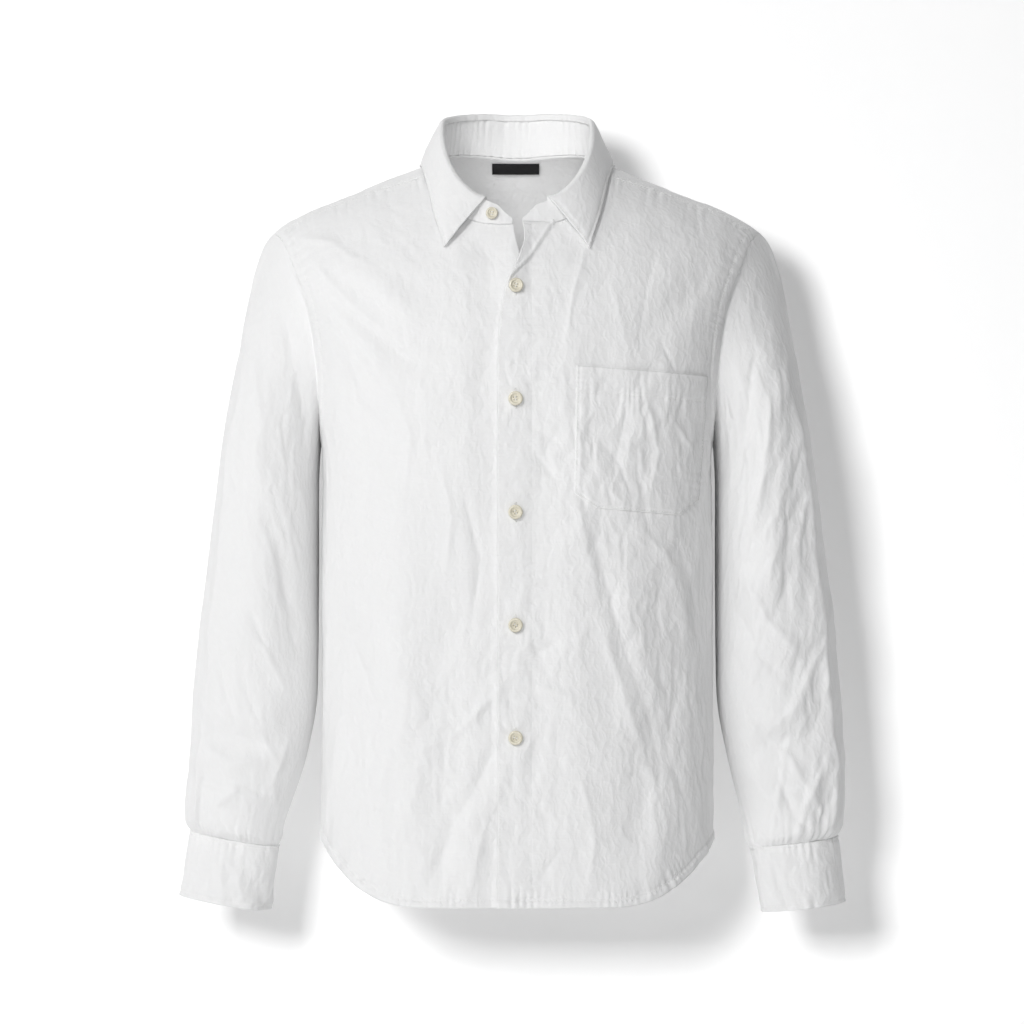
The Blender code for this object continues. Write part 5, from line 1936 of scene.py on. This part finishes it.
@dataclass
class CollarStand:
    """The collar stand, from its button end round the back to its buttonhole end."""

    cloth: BodyCloth
    pitch: float = 1.3
    height: float = 37.0
    crumpled: float = 0.5
    hole_length: float = 12.0
    gap: float = 1.1
    lean: float = 0.08
    end_right: float = 4.0
    end_left: float = 5.0
    hole_x: float = 17.4
    hole_z: float = -56.4
    heights: SizeTable = sizes(
        "angle height", (0.0, 37.0), (0.4, 36.0), (0.8, 34.0), (1.2, 33.0), (1.9, 32.0),
        (2.26, 29.5), (2.58, 25.5), (2.81, 21.5), (2.95, 19.8), (3.05, 15.5), (3.1, 9.0),
        (math.pi, 3.0),
    )
    head_pucker: Pucker = Pucker(10.0, 16.0, 0.8, 91)
    foot_pucker: Pucker = Pucker(9.0, 9.0, 0.6, 94)

    def foot(self, angle: Array) -> Array:
        """The stand's foot, just above the neck seam."""
        base = self.cloth.torso.neck(angle)
        base[2] = base[2] + self.gap
        return base

    def rise(self, angle: Array) -> Array:
        """The way the stand rises: up, leaning a little to the middle of the neck."""
        base = self.cloth.torso.neck(angle)
        lean = stack(-base[0], self.cloth.torso.neck_middle_y - base[1], 0 * angle)
        lean = unit(lean) * self.lean
        lean[2] = 1.0
        return lean

    def shape(self, angle: Array, v: Array) -> Array:
        """The stand's smooth form."""
        height = self.heights("height", np.abs(angle))
        return self.foot(angle) + self.rise(angle) * height * v

    def build(self, room: Workroom, sewing: Sewing) -> None:
        """Makes the stand, its stitching and its buttonhole."""
        torso = self.cloth.torso
        first, last = -torso.neck_angle(self.end_right), torso.neck_angle(self.end_left)
        angle = torso.neck_turns(first, last, self.pitch)
        v = lattice(0, 1, self.pitch / self.height)[:, None]
        grid = ClothGrid(self.shape(angle, v))
        lift = self.crumpled * self.cloth.crumple.height(grid.across, grid.along, 3100.0)
        lift += grid.gathers(self.head_pucker, Edge.HEAD)
        lift += grid.gathers(self.foot_pucker, Edge.FOOT)
        front = ramp(2.6, 1.9, np.abs(angle))
        grid.push(np.clip(lift * mix(0.25, 1.0, front), -1.3, 1.3))
        sewing.rows(grid, 3, (Edge.FOOT, 2.5))
        grid.tuck(Edge.FOOT, 0.9, 0.0)
        away = np.hypot(grid.points[0] - self.hole_x, grid.points[2] - self.hole_z)
        away += 1e3 * (grid.points[1] > 0)
        row, column = np.unravel_index(away.argmin(), away.shape)
        middle, facing = grid.points[:, row, column], grid.normals(grid.points)[:, row, column]
        along = grid.points[:, row, column + 1] - middle
        along -= facing * (along @ facing)
        sewing.buttonhole(middle, unit(along), facing, self.hole_length)
        room.cloth("collar_stand", grid, (440, 37), 0.9, wall=1.0, stride=1)


@dataclass
class CollarLeaf:
    """The turned-down collar leaf: off the stand, rolled over, down to its pointed edge."""

    stand: CollarStand
    pitch: float = 1.5
    crumpled: float = 0.75
    cells: int = 7
    roll_rows: int = 3
    bow_out: float = 0.6
    bow_up: float = 0.8
    neck_cells: int = 6
    set_back: int = 2
    edge: SizeTable = sizes(
        "along x y lift", (0.00, 68.0, -97.5, 6.5), (0.18, 80.5, -74, 5.5),
        (0.34, 90.0, -36, 4.0), (0.46, 94.0, -6, 3.2), (0.60, 91.0, 22, 3.4),
        (0.75, 72.0, 46, 4.5), (0.88, 38.0, 56, 5.5), (1.00, 0.0, 58, 6.0),
    )
    roll: SizeTable = sizes(
        "step outward up", (-1, -1.0, -2.6), (0, -1.3, 1.5), (1, -0.9, 3.1), (2, 1.1, 4.0),
        (3, 3.8, 2.2),
    )
    edge_pucker: Pucker = Pucker(9.0, 9.0, 0.4, 101)
    stand_pucker: Pucker = Pucker(9.0, 6.0, 0.5, 104)

    def shape(self, angle: Array, v: Array) -> Array:
        """The leaf's smooth form."""
        stand, torso = self.stand, self.stand.cloth.torso
        along = 1 - np.abs(angle) / np.where(angle < 0, -angle.min(), angle.max())
        base = torso.neck(angle)
        outward = unit(stack(base[0], base[1] - torso.neck_middle_y, 0 * angle))
        top = stand.foot(angle) + stand.rise(angle) * stand.heights("height", np.abs(angle))
        step = v * self.cells
        rolled = top + outward * self.roll("outward", step) + UP * self.roll("up", step)
        rows = np.array(float(self.roll_rows))
        last = top + outward * self.roll("outward", rows) + UP * self.roll("up", rows)
        edge_x = self.edge("x", along) * np.sign(angle)
        edge_y = self.edge("y", along)
        edge = stack(edge_x, edge_y, torso.height_over(edge_x, edge_y))
        off_body = stack(0 * along, 0.6 * np.sign(edge_y), 0.8 + 0 * along)
        edge += self.edge("lift", along) * off_body
        share = np.clip((step - self.roll_rows) / (self.cells - self.roll_rows), 0, 1)
        bow = 4 * share * (1 - share) * (self.bow_out * outward + self.bow_up * UP)
        return np.where(step <= self.roll_rows, rolled, mix(last, edge, share) + bow)

    def build(self, room: Workroom, sewing: Sewing) -> None:
        """Makes the leaf and its edge stitching."""
        torso, stand = self.stand.cloth.torso, self.stand
        first, last = torso.neck_angle(stand.end_right), torso.neck_angle(stand.end_left)
        short = (self.set_back / self.neck_cells) ** torso.neck_ease
        first, last = (end - (end - torso.neck_corner) * short for end in (first, last))
        angle = torso.neck_turns(-first, last, self.pitch)
        turn = self.roll_rows / self.cells
        below = lattice(-1 / self.cells, 0, 0.26 / self.cells)[:-1]
        over, down = lattice(0, turn, turn / 9), lattice(turn, 1, (1 - turn) / 34)[1:]
        v = np.concatenate([below, over, down])
        grid = ClothGrid(self.shape(angle, v[:, None]))
        foot = grid.away(Edge.FOOT)
        clear = ramp(4, 20, foot)
        crush = self.stand.cloth.crumple.height(grid.across, grid.along, 3900.0)
        lift = self.crumpled * crush * clear
        lift += self.stand_pucker.lift(grid.run(Edge.FOOT), np.abs(foot - 1.0))
        for edge in (Edge.START, Edge.END, Edge.HEAD):
            lift += grid.gathers(self.edge_pucker, edge) * clear
            lift -= 0.45 * bell(grid.away(edge) - 3.0, 1.2) * clear
            lift -= 0.7 * bell(grid.away(edge), 6.0) * clear
        grid.push(np.clip(lift, -2.2, 2.0))
        insets = ((Edge.START, 2.8), (Edge.END, 2.8), (Edge.HEAD, 2.8), (Edge.FOOT, 1.0))
        sewing.rows(grid, 3, *insets)
        room.cloth("collar_leaf", grid, (460, 75), 0.9, wall=1.0)


@dataclass
class Placket:
    """The doubled front edge of the wearer's left front, with its five buttonholes."""

    front: FrontPanel
    pitch: float = 1.25
    width: float = 35.0
    inner_edge: float = 17.0
    top: float = -74.0
    rise: float = 1.7
    wall: float = 1.5
    hole_length: float = 17.5

    def build(self, room: Workroom, sewing: Sewing) -> None:
        """Makes the placket, its two rows of stitching and its buttonholes."""
        cloth = self.front.cloth
        z = lattice(cloth.torso.hem_front, self.top, self.pitch)[:, None]
        share = lattice(0, 1, self.pitch / self.width)[None, :]
        x = mix(self.front.edge("x", z), self.inner_edge, share)
        grid = ClothGrid(cloth.on_front(x, z + 0 * x))
        inside = self.inner_edge - x
        step = (self.rise + 0.2) * ramp(-2.0, 18.0, inside) - 0.3
        step -= 0.18 * bell(inside - 1.8, 1.4)
        grid.push(cloth.front(grid.rest, Side.LEFT) + step)
        room.cloth("placket", grid, (36, 640), 1.0, wall=self.wall)
        sewing.rows(grid, 3, (Edge.START, 2.2), (Edge.END, 1.6))
        for number in range(cloth.button_count):
            height = cloth.button_top_z - number * cloth.button_pitch
            away = np.hypot(grid.rest[0] - cloth.button_x, grid.rest[2] - height)
            middle, facing = grid.nearest(away)
            along = unit(np.cross(facing, np.array([1.0, 0, 0])))
            sewing.buttonhole(middle, along, facing, self.hole_length)


@dataclass
class ChestPocket:
    """The patch pocket on the wearer's left chest, with a hemmed mouth and cut corners."""

    front: FrontPanel
    pitch: float = 1.2
    width: float = 122.0
    height: float = 134.0
    rise: float = 1.55
    hem: float = 23.5
    corners: tuple = ((55.0, -205.0), (178.0, -212.8), (170.5, -329.0), (52.6, -322.0))
    chamfer: tuple = ((152.0, -343.0), (74.0, -336.5))

    def outline(self, share: Array) -> tuple[Array, Array]:
        """The pocket's lowest height and highest height across it."""
        (_, z1), (_, z2), (x3, z3), (x4, z4) = self.corners
        right, left = self.chamfer
        top = mix(z1, z2, share)
        x = mix(x4, x3, share)
        bottom = np.interp(x, [x4, left[0], right[0], x3], [z4, left[1], right[1], z3])
        return bottom, top

    def build(self, room: Workroom, sewing: Sewing) -> None:
        """Makes the pocket with its edge stitching and the stitched hem of its mouth."""
        cloth = self.front.cloth
        u, v = unit_square(self.pitch, self.width, self.height)
        bottom, top = self.outline(u)
        (x1, _), (x2, _), (x3, _), (x4, _) = self.corners
        x = mix(mix(x4, x1, v), mix(x3, x2, v), u)
        z = mix(bottom, top, v)
        grid = ClothGrid(cloth.on_front(x, z))
        sewn = (Edge.START, Edge.END, Edge.FOOT)
        edge = np.minimum.reduce([grid.away(side) for side in sewn])
        step = mix(0.85, self.rise, ramp(0.5, 4.0, edge)) - 0.65 * bell(edge - 2.6, 1.2)
        hem = grid.away(Edge.HEAD)
        step += 0.5 * (1 - ramp(self.hem - 1.5, self.hem + 0.5, hem))
        step -= 0.5 * bell(hem - self.hem, 1.4)
        gathers = Pucker(9.0, 7.0, 0.6, 111)
        step += gathers.lift(grid.run(Edge.HEAD), np.abs(hem - self.hem))
        grid.push(cloth.front(grid.rest, Side.LEFT) + step)
        room.cloth("pocket", grid, (123, 138), 0.97)
        sewing.rows(grid, 2, *((side, 2.0) for side in sewn), (Edge.HEAD, self.hem))


@dataclass
class NeckLabel:
    """The bare woven tape sewn inside the yoke, below the collar seam."""

    cloth: BodyCloth
    left: float = -24.4
    right: float = 22.0
    top: float = 0.9
    bottom: float = -8.7
    inset: float = 2.15
    pitch: float = 0.8

    def build(self, room: Workroom, _: Sewing) -> None:
        """Makes the label; its own black thread doesn't show."""
        x = lattice(self.left, self.right, self.pitch)[None, :]
        z = lattice(self.bottom, self.top, self.pitch)[:, None]
        x, z = np.broadcast_arrays(x, z)
        grid = ClothGrid(stack(x, self.cloth.torso.depth(x, z, 1.0), z))
        grid.push(self.inset + 0.12 * waver(grid.across, 5, 9.0))
        mesh = grid.mesh("neck_label", 0.45)
        piece = room.place("neck_label", mesh, room.tape, "label_cloth", ["label"])


@dataclass
class ShirtButton:
    """A four-hole button with a raised rim, and the thread that holds it."""

    name: str
    diameter: float
    place: Array
    facing: Array
    thick: float = 3.0
    hole_ring: float = 1.75
    hole_radius: float = 0.72
    turn: float = 0.6
    steps: int = 64

    def height(self, x: Array, y: Array) -> Array:
        """The face's height over the button's back."""
        radius = self.diameter / 2
        away = np.hypot(x, y)
        share = np.array([0.0, 0.50, 0.60, 0.70, 0.80, 0.90, 0.97, 1.0])
        face = self.thick * np.array([0.53, 0.55, 0.70, 0.96, 1.0, 0.93, 0.74, 0.60])
        top = np.interp(away / radius, share, face)
        for number in range(4):
            angle = self.turn + number * math.pi / 2
            hole_x, hole_y = self.hole_ring * math.cos(angle), self.hole_ring * math.sin(angle)
            hole = np.hypot(x - hole_x, y - hole_y)
            top -= 1.25 * (1 - ramp(0.55, 1.15, hole / self.hole_radius))
        return top

    def build(self, room: Workroom, thread: Sewing) -> None:
        """Makes the button and adds its thread."""
        radius, steps = self.diameter / 2, self.steps
        rings = np.concatenate([np.linspace(0.02, 0.5, 16), np.linspace(0.54, 1.0, 12)]) * radius
        angle = np.arange(steps) * TURN / steps
        x, y = rings[:, None] * np.cos(angle), rings[:, None] * np.sin(angle)
        rim = np.array([0.3, 0.08, 0.0])[:, None] * self.thick
        rim_r = np.array([1.0, 0.95, 0.86])[:, None] * radius
        x = np.concatenate([x, rim_r * np.cos(angle)])
        y = np.concatenate([y, rim_r * np.sin(angle)])
        z = np.concatenate([self.height(x[: len(rings)], y[: len(rings)]), rim + 0 * angle])
        axes = np.array(Vector(self.facing).to_track_quat("Z", "Y").to_matrix())
        world = axes @ np.stack([x, y, z]).reshape(3, -1) + self.place[:, None]
        index = np.arange(len(x) * steps).reshape(len(x), steps)
        ahead = np.roll(index, -1, axis=1)
        quads = np.stack([index[:-1], index[1:], ahead[1:], ahead[:-1]], axis=-1).reshape(-1, 4)
        faces = quads.tolist() + [index[0].tolist(), index[-1][::-1].tolist()]
        mesh = bpy.data.meshes.new(self.name)
        mesh.from_pydata((world.T * MM).tolist(), [], faces)
        mesh.polygons.foreach_set("use_smooth", np.ones(len(faces), bool))
        room.place(f"resin_{self.name}", mesh, room.resin, "button_resin", [self.name])
        for sign in (-1, 1):
            for strand in (-0.32, 0.0, 0.32):
                ends = []
                for end in (-1, 1):
                    turned = self.turn + (0 if sign * end > 0 else math.pi / 2)
                    x0 = self.hole_ring * math.cos(turned) * sign
                    y0 = self.hole_ring * math.sin(turned) * sign
                    ends.append(np.array([x0, y0, self.thick * 0.5]))
                across = unit(np.cross(ends[1] - ends[0], [0, 0, 1.0])) * strand
                first, second = (axes @ (end + across) + self.place for end in ends)
                thread.bars(first[None], second[None], self.facing[None], 0.42, 0.65)


@dataclass
class Buttons:
    """All the shirt's buttons, seated where their rigid solids are."""

    room: Workroom
    cloth: BodyCloth
    stand: CollarStand
    cuffs: tuple
    thread: Sewing = field(default_factory=lambda: Sewing("button_thread"))
    diameter: float = 13.4
    small_diameter: float = 11.4
    seat: float = 2.5
    small_seat: float = 0.9
    stand_seat: float = 1.7
    stand_x: float = 23.5
    cuff_turn: float = math.radians(-84)

    def sew(
        self, name: str, grid: Array, way: int, seat: float, diameter: float, turn: float = 0.6
    ) -> None:
        """Seats a button on the cloth.

        Args:
            name: The button's name.
            grid: Three by three points of the cloth round its middle.
            way: 1 if the grid's normals face out, and -1 if they face in.
            seat: How far the button's back is from the cloth, in millimetres.
            diameter: The button's diameter.
            turn: Its turn, in radians.
        """
        facing = ClothGrid(grid).rest_normals[:, 1, 1] * way
        place = grid[:, 1, 1] + facing * seat
        ShirtButton(name, diameter, place, facing, turn=turn).build(self.room, self.thread)

    def build(self) -> None:
        """Makes every button, with its thread in one mesh."""
        cloth = self.cloth
        step = np.array([-3.0, 0.0, 3.0])
        for number in range(cloth.button_count):
            z = cloth.button_top_z - number * cloth.button_pitch + step[:, None]
            x = cloth.button_x + step[None, :] + 0 * z
            grid = ClothGrid(cloth.on_front(x, z + 0 * x))
            grid.push(fold_lift(x, z + 0 * x, cloth.front_folds))
            name = f"button_{number + 1}"
            self.sew(name, grid.points, 1, self.seat, self.diameter, 0.5 + 0.4 * number)
        angle = -cloth.torso.neck_angle(self.stand_x)
        turns = angle + np.array([-0.01, 0.0, 0.01])[None, :]
        shares = 0.46 + np.array([-0.1, 0.0, 0.1])[:, None]
        inner = self.stand.shape(turns, shares)
        self.sew("button_stand", inner, -1, self.stand_seat, self.small_diameter)
        for cuff in self.cuffs:
            around = (self.cuff_turn - cuff.begin + TURN) / (TURN + cuff.lap)
            us = around + np.array([-0.004, 0.0, 0.004])[None, :]
            vs = 0.5 + np.array([-0.05, 0.0, 0.05])[:, None]
            name, outer = cuff.side.of("cuff_button"), cuff.shape(us, vs)
            self.sew(name, outer, cuff.side.value, self.small_seat, self.small_diameter)
        self.thread.finish(self.room)


def main() -> None:
    """Builds the studio and the shirt, piece by piece."""
    logging.basicConfig(level=logging.INFO, format="%(name)s: %(message)s")
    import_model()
    studio = Studio()
    studio.build()
    room = Workroom()
    sewing = Sewing("lock_stitches")
    cloth = BodyCloth(Torso())
    left, right = FrontPanel(cloth, Side.LEFT), FrontPanel(cloth, Side.RIGHT)
    stand = CollarStand(cloth)
    cuffs = (Cuff(cloth, Side.LEFT), Cuff(cloth, Side.RIGHT))
    pieces = [
        left, right, BackPanel(cloth), Yoke(cloth), Sleeve(cloth, Side.LEFT),
        Sleeve(cloth, Side.RIGHT), *cuffs, stand, CollarLeaf(stand), Placket(left),
        ChestPocket(left), NeckLabel(cloth),
    ]
    for piece in pieces:
        piece.build(room, sewing)
        LOG.info("%s is made", type(piece).__name__)
    sewing.finish(room)
    Buttons(room, cloth, stand, cuffs).build()
    inside = ("yoke", "back", "collar_stand", "collar_leaf")
    neck = [bpy.data.objects[f"poplin_{name}"] for name in inside]
    studio.hang_light(
        "neck_light", (0.0, -0.09, -0.03), 0.06, 0.021, neck, aim=(0.0, 0.05, -0.02), spread=100.0
    )


if __name__ == "__main__":
    main()
